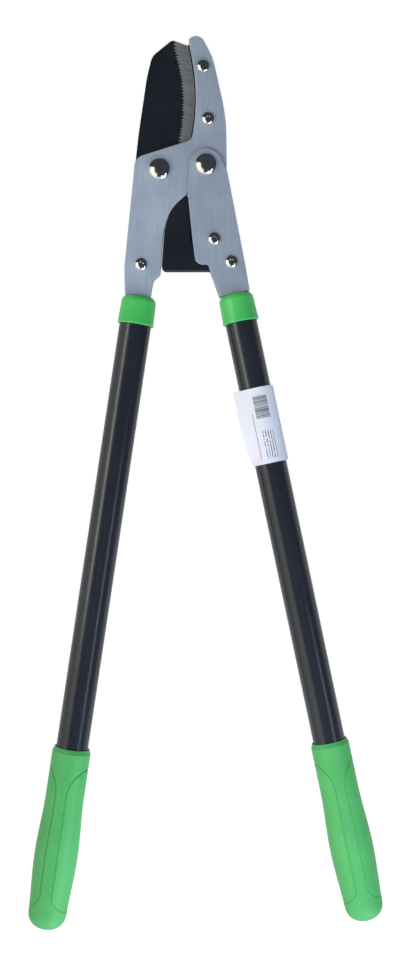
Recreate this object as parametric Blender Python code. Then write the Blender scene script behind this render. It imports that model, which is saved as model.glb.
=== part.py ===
"""Lopper with a power slot: a long handled cutter for branches, lying on its back.

The origin is on the axis of the main pivot, where the end of its bolt touches the ground. +Y runs from
the grips to the jaw, +X to the right as seen from the front, and +Z up from the ground to the front.

The left handle and the two jaw plates are one rigid frame. The right handle turns on the main pivot, and a
curved slot in its two drive plates pushes a pin in the tail of the blade, which turns on the blade pivot.

Points and corners are in millimetres in the named values below, and in metres once mm() has read them.
"""

import math

import bmesh
import bpy
from mathutils import Matrix, Vector

MM = 0.001


def mm(x, y):
    return Vector((x * MM, y * MM))


# Clearances
SEAT = 0.3 * MM                 # between two pieces that rest on each other
RUNNING = 0.3 * MM              # all round a pin or a bolt in its hole
SIDE_GAP = 0.6 * MM             # between the drive plates and the edge of the jaw plates

# Layers, counted out from the middle of the blade
BLADE_THICKNESS = 3.6 * MM
JAW_PLATE_THICKNESS = 2.5 * MM
HANDLE_PLATE_THICKNESS = 2.2 * MM
PLATE_EDGE = 0.4 * MM           # broken edge of a stamped plate

# Pivots and drive, from the main pivot
BLADE_PIVOT = mm(-37.2, -3.2)
BLADE_TURN_PER_HANDLE_TURN = 0.7
HANDLE_TURN = math.radians(52)
DRIVE_PIN = mm(-0.8, -74.4)
DRIVE_PIN_RADIUS = 3.0 * MM
DRIVE_PIN_BOSS_RADIUS = 7.0 * MM
DRIVE_SCREW = mm(6.6, -59.4)

# Mouth of the jaw plates: the edge that faces the blade
MOUTH_TOP = mm(-14.3, 101.6)
MOUTH_MIDDLE = mm(-5.6, 56.0)
MOUTH_BOTTOM = mm(-12.8, 12.0)
MOUTH_RADIUS = 160.0 * MM
HEEL_ABOVE_BOTTOM = 8.6 * MM    # where the cheek's top edge meets the mouth
HEEL_RADIUS = 6.0 * MM

# Hook: corners (x, y, radius) of its tip and its back, from the main pivot
HOOK_CORNERS = ((-4.5, 105.2, 7.0), (5.6, 86.0, 50.0), (16.2, 38.0, 130.0))
HOOK_TIP_RADIUS = 3.0 * MM
JAW_BOSS_RADIUS = 16.8 * MM     # round the main pivot

# Left cheek: corners from the blade pivot, and its foot from the top of the collar (outwards, up)
CHEEK_CORNER = (-19.6, 9.3, 9.0)
CHEEK_SHOULDER = (10.0, -30.4, 30.0)
CHEEK_WAIST = (3.2, -47.2, 60.0)
CHEEK_FOOT = ((-14.0, 19.6, 3.0), (-9.2, 13.5, 6.0), (-8.9, 0.0, 0.6), (11.8, 0.0, 0.6),
              (15.4, 20.3, 60.0))
CHEEK_UNDER_PIVOT = 8.0 * MM    # from the main pivot to the left, where the inner edge starts

# Anvil between the hook plates
ANVIL_PROUD = 1.3 * MM          # in front of the mouth's edge
ANVIL_DEPTH_TOP = 11.0 * MM     # behind the mouth's edge, where the hook is narrow
ANVIL_DEPTH_BOTTOM = 17.0 * MM
ANVIL_TOP = 0.06               # share of the mouth's length, from its top
ANVIL_BOTTOM = 0.94
ANVIL_SCREWS = {"upper": mm(-2.2, 79.3), "lower": mm(1.6, 37.4)}

# Blade: the corners of its back and tip from the blade pivot, and of its tail along the line to the pin
EDGE_THICKNESS = 0.4 * MM
BEVEL_AT_HEEL = 7.8 * MM
BEVEL_AT_TIP = 10.2 * MM
BLADE_BACK = ((-19.6, -13.6, 13.0), (-19.6, 4.0, 40.0), (-17.0, 28.0, 150.0), (-10.2, 74.4, 80.0),
              (-6.2, 91.0, 12.0), (10.0, 104.1, 4.0))
BLADE_SHOULDER = (17.0, 4.0, 10.0)
TAIL_RIGHT = (19.0, 10.0, 12.0)
TAIL_LEFT = (22.0, -12.0, 30.0)

# Right handle plates: round head, corners of the outer edge from the main pivot, foot from the collar
HANDLE_HEAD_RADIUS = 13.1 * MM
HANDLE_HEAD_FROM = math.radians(16)
HANDLE_OUTER_EDGE = ((16.8, -4.4, 12.0),)
HANDLE_FOOT = ((12.6, 22.0, 60.0), (11.8, 0.0, 0.6), (-12.9, 0.0, 0.6), (-16.6, 27.2, 1.6),
               (-26.2, 28.0, 6.5))
HANDLE_INNER_EDGE = ((-11.0, -58.0, 80.0), (-14.4, -24.0, 60.0))

# Drive plates
DRIVE_PLATE_TOP = -24.8 * MM
DRIVE_PLATE_BOTTOM = -84.6 * MM
DRIVE_TOP_CORNER = (5.0, -24.8, 6.0)
BESIDE_DRIVE_SCREW = (9.0, 8.0, 10.0)
BESIDE_HANDLE_SCREW = (7.5, 9.0, 8.0)
DRIVE_FOOT_HALF_WIDTH = 10.0 * MM
DRIVE_CORNER_RADIUS = 4.0 * MM

# Handles
LEFT_BASE = mm(-53.4, -104.8)   # middle of the top of the left collar
LEFT_TILT = math.radians(8.5)
RIGHT_BASE = mm(23.4, -103.0)
RIGHT_TILT = math.radians(11.9)
TUBE_RADIUS = 12.8 * MM
TUBE_WALL = 1.2 * MM
TUBE_SHOWN = 366.0 * MM         # from the top of the collar to the top of the grip
TUBE_IN_GRIP = 126.0 * MM
COLLAR_LENGTH = 23.0 * MM
COLLAR_WALL = 1.6 * MM          # at its lower end
COLLAR_TAPER = 0.8 * MM         # how much narrower the collar is at its top
COLLAR_WEB = 2.2 * MM           # closed top of the collar, above the end of the tube
COLLAR_TOP_INSET = 3.0 * MM
COLLAR_SHOULDER = 7.0 * MM
COLLAR_LIP_LENGTH = 0.9 * MM
COLLAR_LIP_DEPTH = 0.3 * MM
GRIP_LENGTH = 147.0 * MM
GRIP_WALL = 2.6 * MM            # at the waist
GRIP_BULGE = 2.0 * MM
GRIP_BULGE_AT = 88.0 * MM       # below the top of the grip
GRIP_BULGE_REACH = 50.0 * MM
GRIP_CHAMFER = 1.6 * MM
GRIP_END = 14.0 * MM            # length of the rounded end
GRIP_END_POWER = 2.3            # 2 would be an ellipse, more is squarer
PLUG_LENGTH = 40.0 * MM
TUBE_PIN_RADIUS = 2.5 * MM
TUBE_PIN_DEPTH = 13.0 * MM      # below the top of the collar

# Steel tongue that joins a tube to its plates
TONGUE_IN_PLUG_WIDTH = 16.0 * MM
TONGUE_DEPTH = 36.0 * MM        # down into the plug, from the top of the collar
TONGUE_REACH = 34.0 * MM        # up between the plates
TONGUE_INNER = 6.5 * MM
TONGUE_OUTER = 10.5 * MM
TONGUE_STEP = 4.0 * MM
HANDLE_SCREW_OUT = 2.3 * MM     # outwards from the handle's line
HANDLE_SCREW_BELOW_END = 8.6 * MM

# Label on the right tube
LABEL_LENGTH = 61.0 * MM
LABEL_WIDTH = 40.0 * MM
LABEL_THICKNESS = 0.3 * MM
LABEL_DEPTH = 77.3 * MM         # below the top of the collar
LABEL_FROM = math.radians(-10)  # angle round the tube, from +X over the front
LABEL_LIFT_TOP = math.radians(110)
LABEL_LIFT_BOTTOM = math.radians(138)
LABEL_SLACK = 1.1 * MM          # how far the paper stands off the right side of the tube

# M5 screws with a cross recess
SCREW_RADIUS = 2.5 * MM
SCREW_HEAD_RADIUS = 4.75 * MM
SCREW_HEAD_HEIGHT = 3.0 * MM
SCREW_END = 1.0 * MM            # thread that stands out of the nut
SCREW_NUT_ACROSS = 8.0 * MM
SCREW_NUT_HEIGHT = 4.0 * MM
RECESS_WIDTH = 1.2 * MM
RECESS_LENGTH = 5.0 * MM
RECESS_DEPTH = 1.7 * MM
RECESS_TURN = math.radians(20)

# M8 pivot bolts with a domed head
BOLT_RADIUS = 4.0 * MM
BOLT_HEAD_RADIUS = 8.25 * MM
BOLT_HEAD_HEIGHT = 5.0 * MM
BOLT_END = 1.7 * MM
BOLT_NUT_ACROSS = 13.0 * MM
BOLT_NUT_HEIGHT = 6.8 * MM
WASHER_RADIUS = 8.0 * MM
WASHER_THICKNESS = 1.2 * MM
BUSH_WALL = 1.7 * MM
SPACER_WALL = 3.4 * MM
THREAD_CHAMFER = 0.4 * MM
HEAD_RIM = 0.18                 # share of a head's height below its dome

# Fineness of round shapes
SAG = 0.10 * MM                 # how far a chord may lie from its arc
ROUND_SIDES = 28
SMALL_SIDES = 16
EDGE_FACET = 4.3 * MM           # length of one facet along the mouth

# Heights and places that follow from the sizes above
BLADE_HALF = BLADE_THICKNESS / 2
JAW_INNER = BLADE_HALF + SEAT
JAW_OUTER = JAW_INNER + JAW_PLATE_THICKNESS
HANDLE_INNER = JAW_OUTER + SEAT
HANDLE_OUTER = HANDLE_INNER + HANDLE_PLATE_THICKNESS
MIDDLE = HANDLE_OUTER + SEAT + WASHER_THICKNESS + SEAT + BOLT_NUT_HEIGHT + BOLT_END
HANDLE_SCREW = Vector((HANDLE_SCREW_OUT, TONGUE_REACH - HANDLE_SCREW_BELOW_END))
BOLT_HOLE = BOLT_RADIUS + RUNNING
SCREW_HOLE = SCREW_RADIUS + RUNNING
THROUGH = 60.0 * MM             # longer than any wall that a cutter goes through
CENTRE = Vector((0.0, 0.0))


def clear_scene():
    for obj in list(bpy.data.objects):
        bpy.data.objects.remove(obj)


def material(name, colour, roughness, metallic):
    made = bpy.data.materials.new(name)
    made.use_nodes = True
    shader = made.node_tree.nodes["Principled BSDF"]
    shader.inputs["Base Color"].default_value = (*colour, 1.0)
    shader.inputs["Roughness"].default_value = roughness
    shader.inputs["Metallic"].default_value = metallic
    return made


def line_of(name, at, turn=0.0, parent=None):
    """An empty that carries pieces: a joint's axis, or the line of a handle."""
    empty = bpy.data.objects.new(name, None)
    empty.empty_display_size = 20 * MM
    bpy.context.scene.collection.objects.link(empty)
    empty.location = (at.x, at.y, 0.0 if parent else MIDDLE)
    empty.rotation_euler = (0.0, 0.0, turn)
    empty.parent = parent
    return empty


def piece(name, mesh, finish, carrier, at=CENTRE):
    """One sub-part: a mesh in its carrier's frame, moved to at, with one material."""
    obj = bpy.data.objects.new(name, mesh)
    bpy.context.scene.collection.objects.link(obj)
    obj.parent = carrier
    obj.location = (at.x, at.y, 0.0)
    mesh.materials.append(finish)
    mesh.shade_smooth()
    mesh.set_sharp_from_angle(angle=math.radians(35))
    return obj


def cut(obj, cutter_mesh):
    """Takes the cutter's shape, given in the piece's own frame, out of the piece."""
    cutter = bpy.data.objects.new("cutter_of_" + obj.name, cutter_mesh)
    bpy.context.scene.collection.objects.link(cutter)
    cutter.parent = obj
    cutter.hide_render = True
    cutter.display_type = "WIRE"
    modifier = obj.modifiers.new("holes", "BOOLEAN")
    modifier.operation = "DIFFERENCE"
    modifier.object = cutter


def turned(vector, angle):
    """The vector turned anticlockwise."""
    c, s = math.cos(angle), math.sin(angle)
    return Vector((vector.x * c - vector.y * s, vector.x * s + vector.y * c))


def corner(point, radius=0.0):
    return point, radius


def corners_from(origin, values):
    """Corners given as (x, y, radius) in millimetres from a point."""
    return [corner(origin + mm(x, y), radius * MM) for x, y, radius in values]


def corners_on_handle(base, tilt, side, values):
    """Corners given as (outwards, up, radius) in millimetres from the top of a collar."""
    return [
        corner(on_handle(base, tilt, side, mm(out, up)) + turned(mm(0.0, SEAT / MM), tilt), radius * MM)
        for out, up, radius in values
    ]


def on_handle(base, tilt, side, offset):
    """A point given outwards from and up along a handle. side is 1 on the right and -1 on the left."""
    return base + turned(Vector((offset.x * side, offset.y)), tilt)


def rounded(corners, closed=True):
    """Points of an outline whose corners (point, radius) become arcs."""
    points = []
    last = len(corners) - 1
    for index, (here, radius) in enumerate(corners):
        if radius <= 0.0 or (not closed and index in (0, last)):
            points.append(here)
            continue
        back = (corners[index - 1][0] - here).normalized()
        ahead = (corners[(index + 1) % len(corners)][0] - here).normalized()
        half = back.angle(ahead) / 2
        centre = here + (back + ahead).normalized() * (radius / math.sin(half))
        start = here + back * (radius / math.tan(half)) - centre
        end = here + ahead * (radius / math.tan(half)) - centre
        turn = math.atan2(start.x * end.y - start.y * end.x, start.dot(end))
        steps = max(2, math.ceil(abs(turn) / (2 * math.acos(1 - SAG / radius))))
        points += [centre + turned(start, turn * step / steps) for step in range(steps + 1)]
    return points


def arc(centre, radius, start, end):
    steps = max(2, math.ceil(abs(end - start) / (2 * math.acos(1 - SAG / radius))))
    return [
        centre + turned(Vector((radius, 0.0)), start + (end - start) * step / steps)
        for step in range(steps + 1)
    ]


def circle(centre, radius, sides=SMALL_SIDES):
    return [
        centre + turned(Vector((radius, 0.0)), 2 * math.pi * index / sides) for index in range(sides)
    ]


def direction_at(curve, index):
    return (curve[min(index + 1, len(curve) - 1)] - curve[max(index - 1, 0)]).normalized()


def shifted(curve, distance):
    """The curve moved sideways, to the left of its own direction."""
    moved = []
    for index, point in enumerate(curve):
        along = direction_at(curve, index)
        moved.append(point + Vector((-along.y, along.x)) * distance)
    return moved


def resampled(curve, facet):
    """Points evenly spaced along the curve, about one facet apart."""
    lengths = [0.0]
    for a, b in zip(curve, curve[1:]):
        lengths.append(lengths[-1] + (b - a).length)
    facets = max(2, round(lengths[-1] / facet))
    points = []
    segment = 0
    for index in range(facets + 1):
        target = lengths[-1] * index / facets
        while segment < len(curve) - 2 and lengths[segment + 1] < target:
            segment += 1
        share = (target - lengths[segment]) / (lengths[segment + 1] - lengths[segment])
        points.append(curve[segment].lerp(curve[segment + 1], share))
    return points


def clipped(curve, high, low):
    """The stretch of a falling curve between two heights."""
    points = []
    for a, b in zip(curve, curve[1:]):
        if a.y > high >= b.y:
            points.append(a.lerp(b, (a.y - high) / (a.y - b.y)))
        if high > b.y > low:
            points.append(b)
        if a.y > low >= b.y:
            points.append(a.lerp(b, (a.y - low) / (a.y - b.y)))
    return points


def mesh_of(bm, name):
    bmesh.ops.recalc_face_normals(bm, faces=bm.faces)
    mesh = bpy.data.meshes.new(name)
    bm.to_mesh(mesh)
    bm.free()
    return mesh


def prism_mesh(name, outlines, low, high):
    """Straight-sided solids, one for each outline."""
    bm = bmesh.new()
    for outline in outlines:
        face = bm.faces.new([bm.verts.new((p.x, p.y, low)) for p in outline])
        raised = bmesh.ops.extrude_face_region(bm, geom=[face])["geom"]
        verts = [item for item in raised if isinstance(item, bmesh.types.BMVert)]
        bmesh.ops.translate(bm, verts=verts, vec=(0.0, 0.0, high - low))
    return mesh_of(bm, name)


def cutter_mesh(name, outlines):
    return prism_mesh(name, outlines, -THROUGH, THROUGH)


def plate(name, outline, low, high, holes, finish, carrier):
    """A stamped plate with broken edges and through holes."""
    obj = piece(name, prism_mesh(name, [outline], low, high), finish, carrier)
    edges = obj.modifiers.new("broken_edges", "BEVEL")
    edges.width = PLATE_EDGE
    edges.segments = 1
    edges.limit_method = "ANGLE"
    edges.angle_limit = math.radians(50)
    cut(obj, cutter_mesh("holes_of_" + name, holes))
    return obj


def pair_of_plates(name, outline, inner, outer, holes, finish, carrier):
    """Two like plates, one in front of the blade and one behind it."""
    plate(name + "_front", outline, inner, outer, holes, finish, carrier)
    plate(name + "_back", outline, -outer, -inner, holes, finish, carrier)


def lathe_mesh(name, profile, sides=ROUND_SIDES, ring=False, along_handle=False):
    """A turned solid from (radius, distance along its axis). A ring's profile closes on itself."""
    bm = bmesh.new()
    rings = []
    for radius, along in profile:
        outline = circle(CENTRE, radius, sides) if radius > 0.0 else [CENTRE]
        rings.append([bm.verts.new((p.x, p.y, along)) for p in outline])
    pairs = list(zip(rings, rings[1:]))
    if ring:
        pairs.append((rings[-1], rings[0]))
    else:
        for end in (rings[0], rings[-1]):
            if len(end) > 1:
                bm.faces.new(end)
    for a, b in pairs:
        for side in range(sides):
            after = (side + 1) % sides
            loop = [a[side % len(a)], a[after % len(a)], b[after % len(b)], b[side % len(b)]]
            bm.faces.new(list(dict.fromkeys(loop)))
    if along_handle:
        bmesh.ops.rotate(bm, verts=bm.verts, matrix=Matrix.Rotation(-math.pi / 2, 3, "X"))
    return mesh_of(bm, name)


def ring_mesh(name, inner, outer, low, high, sides=ROUND_SIDES):
    profile = [(inner, low), (outer, low), (outer, high), (inner, high)]
    return lathe_mesh(name, profile, sides, ring=True)


def headed_mesh(name, shank, end, head, height, base, sides):
    """A screw or a bolt: a shank from end up to its domed head, which starts at base."""
    profile = [(shank - THREAD_CHAMFER, end), (shank, end + THREAD_CHAMFER), (shank, base)]
    rim = HEAD_RIM * height
    profile += [(head - rim / 2, base), (head, base + rim)]
    steps = 5
    for step in range(1, steps):
        angle = math.pi / 2 * step / steps
        profile.append((head * math.cos(angle), base + rim + (height - rim) * math.sin(angle)))
    profile.append((0.0, base + height))
    return lathe_mesh(name, profile, sides)


def nut(name, at, across, bore, low, high, finish, carrier):
    outline = circle(CENTRE, across / math.sqrt(3), 6)
    obj = piece(name, prism_mesh(name, [outline], low, high), finish, carrier, at)
    cut(obj, cutter_mesh("bore_of_" + name, [circle(CENTRE, bore)]))


def screw(name, at, top, finish, carrier):
    """A pan head screw with its cross recess, through a stack whose faces lie at +top and -top."""
    end = -top - SEAT - SCREW_NUT_HEIGHT - SCREW_END
    base = top + SEAT
    mesh = headed_mesh(name, SCREW_RADIUS, end, SCREW_HEAD_RADIUS, SCREW_HEAD_HEIGHT, base, SMALL_SIDES)
    obj = piece(name, mesh, finish, carrier, at)
    a, b = RECESS_WIDTH / 2, RECESS_LENGTH / 2
    arm = [Vector((a, a)), Vector((a, b)), Vector((-a, b))]
    cross = [turned(p, RECESS_TURN + quarter * math.pi / 2) for quarter in range(4) for p in arm]
    floor = base + SCREW_HEAD_HEIGHT - RECESS_DEPTH
    cut(obj, prism_mesh("recess_of_" + name, [cross], floor, floor + THROUGH))


def screw_nut(name, at, top, finish, carrier):
    high = -top - SEAT
    nut(name, at, SCREW_NUT_ACROSS, SCREW_HOLE, high - SCREW_NUT_HEIGHT, high, finish, carrier)


def pivot(name, at, top, bright, plain, carrier):
    """A domed bolt with its washer and lock nut, through a stack whose faces lie at +top and -top."""
    washer_high = -top - SEAT
    washer_low = washer_high - WASHER_THICKNESS
    nut_high = washer_low - SEAT
    nut_low = nut_high - BOLT_NUT_HEIGHT
    bolt = headed_mesh(name + "_bolt", BOLT_RADIUS, nut_low - BOLT_END, BOLT_HEAD_RADIUS,
                       BOLT_HEAD_HEIGHT, top + SEAT, ROUND_SIDES)
    piece(name + "_bolt", bolt, bright, carrier, at)
    washer = ring_mesh(name + "_washer", BOLT_HOLE, WASHER_RADIUS, washer_low, washer_high)
    piece(name + "_washer", washer, plain, carrier, at)
    nut(name + "_nut", at, BOLT_NUT_ACROSS, BOLT_HOLE, nut_low, nut_high, plain, carrier)


def mouth_curve():
    """The edge of the hook that faces the blade, from its top to behind the heel."""
    corners = [corner(MOUTH_TOP), corner(MOUTH_MIDDLE, MOUTH_RADIUS), corner(MOUTH_BOTTOM)]
    return rounded(corners, closed=False)


def cheek_inner_corners():
    """The inner edge of the left cheek, from under the main pivot down to its foot."""
    start = corner(Vector((-CHEEK_UNDER_PIVOT, -JAW_BOSS_RADIUS)), CHEEK_UNDER_PIVOT)
    foot = corners_on_handle(LEFT_BASE, -LEFT_TILT, -1, CHEEK_FOOT[:1])
    return [start, *corners_from(BLADE_PIVOT, (CHEEK_SHOULDER, CHEEK_WAIST)), *foot]


def jaw_outline():
    """Hook, bridge and left cheek in one, clockwise from the top of the mouth."""
    heel = MOUTH_BOTTOM.lerp(MOUTH_MIDDLE, HEEL_ABOVE_BOTTOM / (MOUTH_MIDDLE - MOUTH_BOTTOM).length)
    boss = Vector((JAW_BOSS_RADIUS, -JAW_BOSS_RADIUS))
    corners = [corner(MOUTH_TOP, HOOK_TIP_RADIUS), *corners_from(CENTRE, HOOK_CORNERS)]
    corners.append(corner(boss, JAW_BOSS_RADIUS - PLATE_EDGE))
    corners += cheek_inner_corners()
    corners += corners_on_handle(LEFT_BASE, -LEFT_TILT, -1, CHEEK_FOOT[1:])
    corners += corners_from(BLADE_PIVOT, [CHEEK_CORNER])
    corners += [corner(heel, HEEL_RADIUS), corner(MOUTH_MIDDLE, MOUTH_RADIUS)]
    return rounded(corners)


def anvil_outline():
    """A strip that follows the mouth and grows deeper downwards, round both of its screws."""
    mouth = resampled(mouth_curve(), EDGE_FACET)
    last = len(mouth) - 1
    run = mouth[round(ANVIL_TOP * last):round(ANVIL_BOTTOM * last) + 1]
    back = []
    for index, point in enumerate(run):
        along = direction_at(run, index)
        depth = ANVIL_DEPTH_TOP + (ANVIL_DEPTH_BOTTOM - ANVIL_DEPTH_TOP) * index / (len(run) - 1)
        back.append(point + Vector((-along.y, along.x)) * depth)
    return shifted(run, -ANVIL_PROUD) + list(reversed(back))


def make_jaw(steel, black, bright, plain, jaw_line):
    handle_screw = on_handle(LEFT_BASE, -LEFT_TILT, -1, HANDLE_SCREW)
    anvil_holes = [circle(at, SCREW_HOLE) for at in ANVIL_SCREWS.values()]
    holes = [circle(CENTRE, BOLT_HOLE), circle(BLADE_PIVOT, BOLT_HOLE), circle(handle_screw, SCREW_HOLE)]
    pair_of_plates("jaw_plate", jaw_outline(), JAW_INNER, JAW_OUTER, holes + anvil_holes, steel, jaw_line)
    plate("anvil", anvil_outline(), -BLADE_HALF, BLADE_HALF, anvil_holes, black, jaw_line)
    for place, at in ANVIL_SCREWS.items():
        screw(f"anvil_screw_{place}", at, JAW_OUTER, bright, jaw_line)
        screw_nut(f"anvil_nut_{place}", at, JAW_OUTER, plain, jaw_line)
    spacer = ring_mesh("main_pivot_spacer", BOLT_HOLE, BOLT_HOLE + SPACER_WALL, -BLADE_HALF, BLADE_HALF)
    piece("main_pivot_spacer", spacer, plain, jaw_line)
    pivot("main_pivot", CENTRE, HANDLE_OUTER, bright, plain, jaw_line)
    pivot("blade_pivot", BLADE_PIVOT, JAW_OUTER, bright, plain, jaw_line)


def cutting_edge():
    """The sharp edge, from the tip to the heel, a seat's gap in front of the anvil."""
    return resampled(shifted(mouth_curve(), -ANVIL_PROUD - SEAT), EDGE_FACET)[1:]


def bevel_line(edge):
    """Where the ground bevel starts, from the blade's end to the heel."""
    end_corner = BLADE_PIVOT + mm(*BLADE_BACK[-1][:2])
    points = [edge[0] + (end_corner - edge[0]).normalized() * BEVEL_AT_TIP]
    for index in range(1, len(edge)):
        along = direction_at(edge, index)
        share = 1 - index / (len(edge) - 1)
        width = BEVEL_AT_HEEL + (BEVEL_AT_TIP - BEVEL_AT_HEEL) * share ** 2
        points.append(edge[index] + Vector((along.y, -along.x)) * width)
    return points


def tail_corners():
    """The blade's tail, from its right side round the drive pin to its left side."""
    along = (DRIVE_PIN - BLADE_PIVOT).normalized()
    side = Vector((-along.y, along.x))
    boss = DRIVE_PIN_BOSS_RADIUS
    end = DRIVE_PIN + along * boss
    right, left = (
        corner(BLADE_PIVOT + (along * down + side * across) * MM, radius * MM)
        for down, across, radius in (TAIL_RIGHT, TAIL_LEFT)
    )
    ends = [corner(end + side * boss, boss - SEAT), corner(end - side * boss, boss - SEAT)]
    return [right, *ends, left]


def blade_mesh():
    """The blade in the main pivot's frame: a flat plate with a bevel on both faces of its edge."""
    edge = cutting_edge()
    bevel = bevel_line(edge)
    corners = [corner(bevel[0]), corner(bevel[-1]), *corners_from(BLADE_PIVOT, [BLADE_SHOULDER])]
    corners += tail_corners() + corners_from(BLADE_PIVOT, BLADE_BACK)
    rest = rounded(corners)[2:]
    bm = bmesh.new()

    def row(points, height):
        return [bm.verts.new((p.x, p.y, height)) for p in points]

    sides = {}
    for sign in (1, -1):
        edge_row = row(edge, sign * EDGE_THICKNESS / 2)
        bevel_row = row(bevel, sign * BLADE_HALF)
        rest_row = row(rest, sign * BLADE_HALF)
        bm.faces.new(bevel_row + rest_row)
        for index in range(len(edge) - 1):
            bm.faces.new([bevel_row[index], bevel_row[index + 1], edge_row[index + 1], edge_row[index]])
        sides[sign] = [bevel_row[-1], *rest_row, bevel_row[0], *edge_row]
    for index in range(len(sides[1])):
        after = (index + 1) % len(sides[1])
        bm.faces.new([sides[1][index], sides[1][after], sides[-1][after], sides[-1][index]])
    return mesh_of(bm, "blade")


def make_blade(black, bronze, plain, blade_line):
    mesh = blade_mesh()
    mesh.transform(Matrix.Translation((-BLADE_PIVOT.x, -BLADE_PIVOT.y, 0.0)))
    blade = piece("blade", mesh, black, blade_line)
    pin_at = DRIVE_PIN - BLADE_PIVOT
    bush_hole = circle(CENTRE, BOLT_HOLE + BUSH_WALL + SEAT, ROUND_SIDES)
    cut(blade, cutter_mesh("holes_of_blade", [bush_hole, circle(pin_at, DRIVE_PIN_RADIUS + SEAT)]))
    bush = ring_mesh("blade_bush", BOLT_HOLE, BOLT_HOLE + BUSH_WALL, -BLADE_HALF, BLADE_HALF)
    piece("blade_bush", bush, bronze, blade_line)
    pin = lathe_mesh("drive_pin", [(DRIVE_PIN_RADIUS, -JAW_OUTER), (DRIVE_PIN_RADIUS, JAW_OUTER)],
                     SMALL_SIDES)
    piece("drive_pin", pin, plain, blade_line, pin_at)


def slot_outline(steps=14):
    """The path of the drive pin as the right handle sees it, widened to let the pin run."""
    path = []
    for step in range(steps + 1):
        handle = HANDLE_TURN * step / steps
        pin = BLADE_PIVOT + turned(DRIVE_PIN - BLADE_PIVOT, handle * BLADE_TURN_PER_HANDLE_TURN)
        path.append(turned(pin, -handle))
    half = DRIVE_PIN_RADIUS + RUNNING
    start = math.atan2(*reversed(direction_at(path, 0)))
    end = math.atan2(*reversed(direction_at(path, steps)))
    far_cap = arc(path[-1], half, end - math.pi / 2, end + math.pi / 2)
    near_cap = arc(path[0], half, start + math.pi / 2, start + 3 * math.pi / 2)
    return shifted(path, -half)[1:-1] + far_cap + list(reversed(shifted(path, half)))[1:-1] + near_cap


def drive_plate_outline():
    """The left side follows the cheek of the jaw plate. The rest lies behind the handle plate."""
    handle_screw = on_handle(RIGHT_BASE, RIGHT_TILT, 1, HANDLE_SCREW)
    cheek = shifted(rounded(cheek_inner_corners(), closed=False), SIDE_GAP)
    left = clipped(cheek, DRIVE_PLATE_TOP, DRIVE_PLATE_BOTTOM + DRIVE_CORNER_RADIUS)
    half = DRIVE_FOOT_HALF_WIDTH / MM
    foot = corners_on_handle(RIGHT_BASE, RIGHT_TILT, 1, [(half, 0.0, 0.6), (-half, 0.0, 0.6)])
    inside = foot[-1][0] + turned(mm(0.0, 1.0), RIGHT_TILT) * (
        (DRIVE_PLATE_BOTTOM - foot[-1][0].y) / (MM * math.cos(RIGHT_TILT)))
    corners = [corner(p) for p in reversed(left)]
    corners += corners_from(CENTRE, [DRIVE_TOP_CORNER])
    corners += corners_from(DRIVE_SCREW, [BESIDE_DRIVE_SCREW])
    corners += corners_from(handle_screw, [BESIDE_HANDLE_SCREW])
    corners += foot
    corners.append(corner(inside, DRIVE_CORNER_RADIUS))
    corners.append(corner(Vector((left[-1].x, DRIVE_PLATE_BOTTOM)), DRIVE_CORNER_RADIUS - SEAT))
    return rounded(corners)


def handle_plate_outline():
    """A round head about the main pivot and a long flank down to the collar, clockwise."""
    head = arc(CENTRE, HANDLE_HEAD_RADIUS, math.pi, HANDLE_HEAD_FROM)
    corners = [corner(p) for p in head]
    corners += corners_from(CENTRE, HANDLE_OUTER_EDGE)
    corners += corners_on_handle(RIGHT_BASE, RIGHT_TILT, 1, HANDLE_FOOT)
    corners += corners_from(CENTRE, HANDLE_INNER_EDGE)
    return rounded(corners)


def make_power_handle(steel, black, bright, plain, turning_line):
    """The plates of the right handle: two bright outer ones, and two black ones with the slot."""
    handle_screw = on_handle(RIGHT_BASE, RIGHT_TILT, 1, HANDLE_SCREW)
    shared = [circle(DRIVE_SCREW, SCREW_HOLE), circle(handle_screw, SCREW_HOLE)]
    outer_holes = [circle(CENTRE, BOLT_HOLE), *shared]
    pair_of_plates("handle_plate", handle_plate_outline(), HANDLE_INNER, HANDLE_OUTER, outer_holes,
                   steel, turning_line)
    pair_of_plates("drive_plate", drive_plate_outline(), JAW_INNER, JAW_OUTER,
                   [slot_outline(), *shared], black, turning_line)
    spacer = ring_mesh("drive_spacer", SCREW_HOLE, SCREW_HOLE + BUSH_WALL, -BLADE_HALF, BLADE_HALF,
                       SMALL_SIDES)
    piece("drive_spacer", spacer, plain, turning_line, DRIVE_SCREW)
    screw("drive_screw", DRIVE_SCREW, HANDLE_OUTER, bright, turning_line)
    screw_nut("drive_nut", DRIVE_SCREW, HANDLE_OUTER, plain, turning_line)


def grip_radius(depth):
    """Outer radius of the grip at a depth below its top, without its rounded end."""
    off = min(abs(depth - GRIP_BULGE_AT) / GRIP_BULGE_REACH, 1.0)
    return TUBE_RADIUS + GRIP_WALL + GRIP_BULGE * math.cos(math.pi / 2 * off) ** 2


def grip_mesh(name):
    """A closed sleeve over the end of the tube, from its top at 0 downwards."""
    bore = TUBE_RADIUS + SEAT
    profile = [(bore, -TUBE_IN_GRIP - SEAT), (bore, 0.0), (grip_radius(0.0) - GRIP_CHAMFER, 0.0)]
    end_from = GRIP_LENGTH - GRIP_END
    steps = 11
    for step in range(steps + 1):
        depth = GRIP_CHAMFER + (end_from - GRIP_CHAMFER) * step / steps
        profile.append((grip_radius(depth), -depth))
    steps = 4
    for step in range(1, steps):
        share = math.sin(math.pi / 2 * step / steps)
        radius = grip_radius(end_from) * (1 - share ** GRIP_END_POWER) ** (1 / GRIP_END_POWER)
        profile.append((radius, -end_from - GRIP_END * share))
    profile.append((0.0, -GRIP_LENGTH))
    return lathe_mesh(name, profile, along_handle=True)


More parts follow.
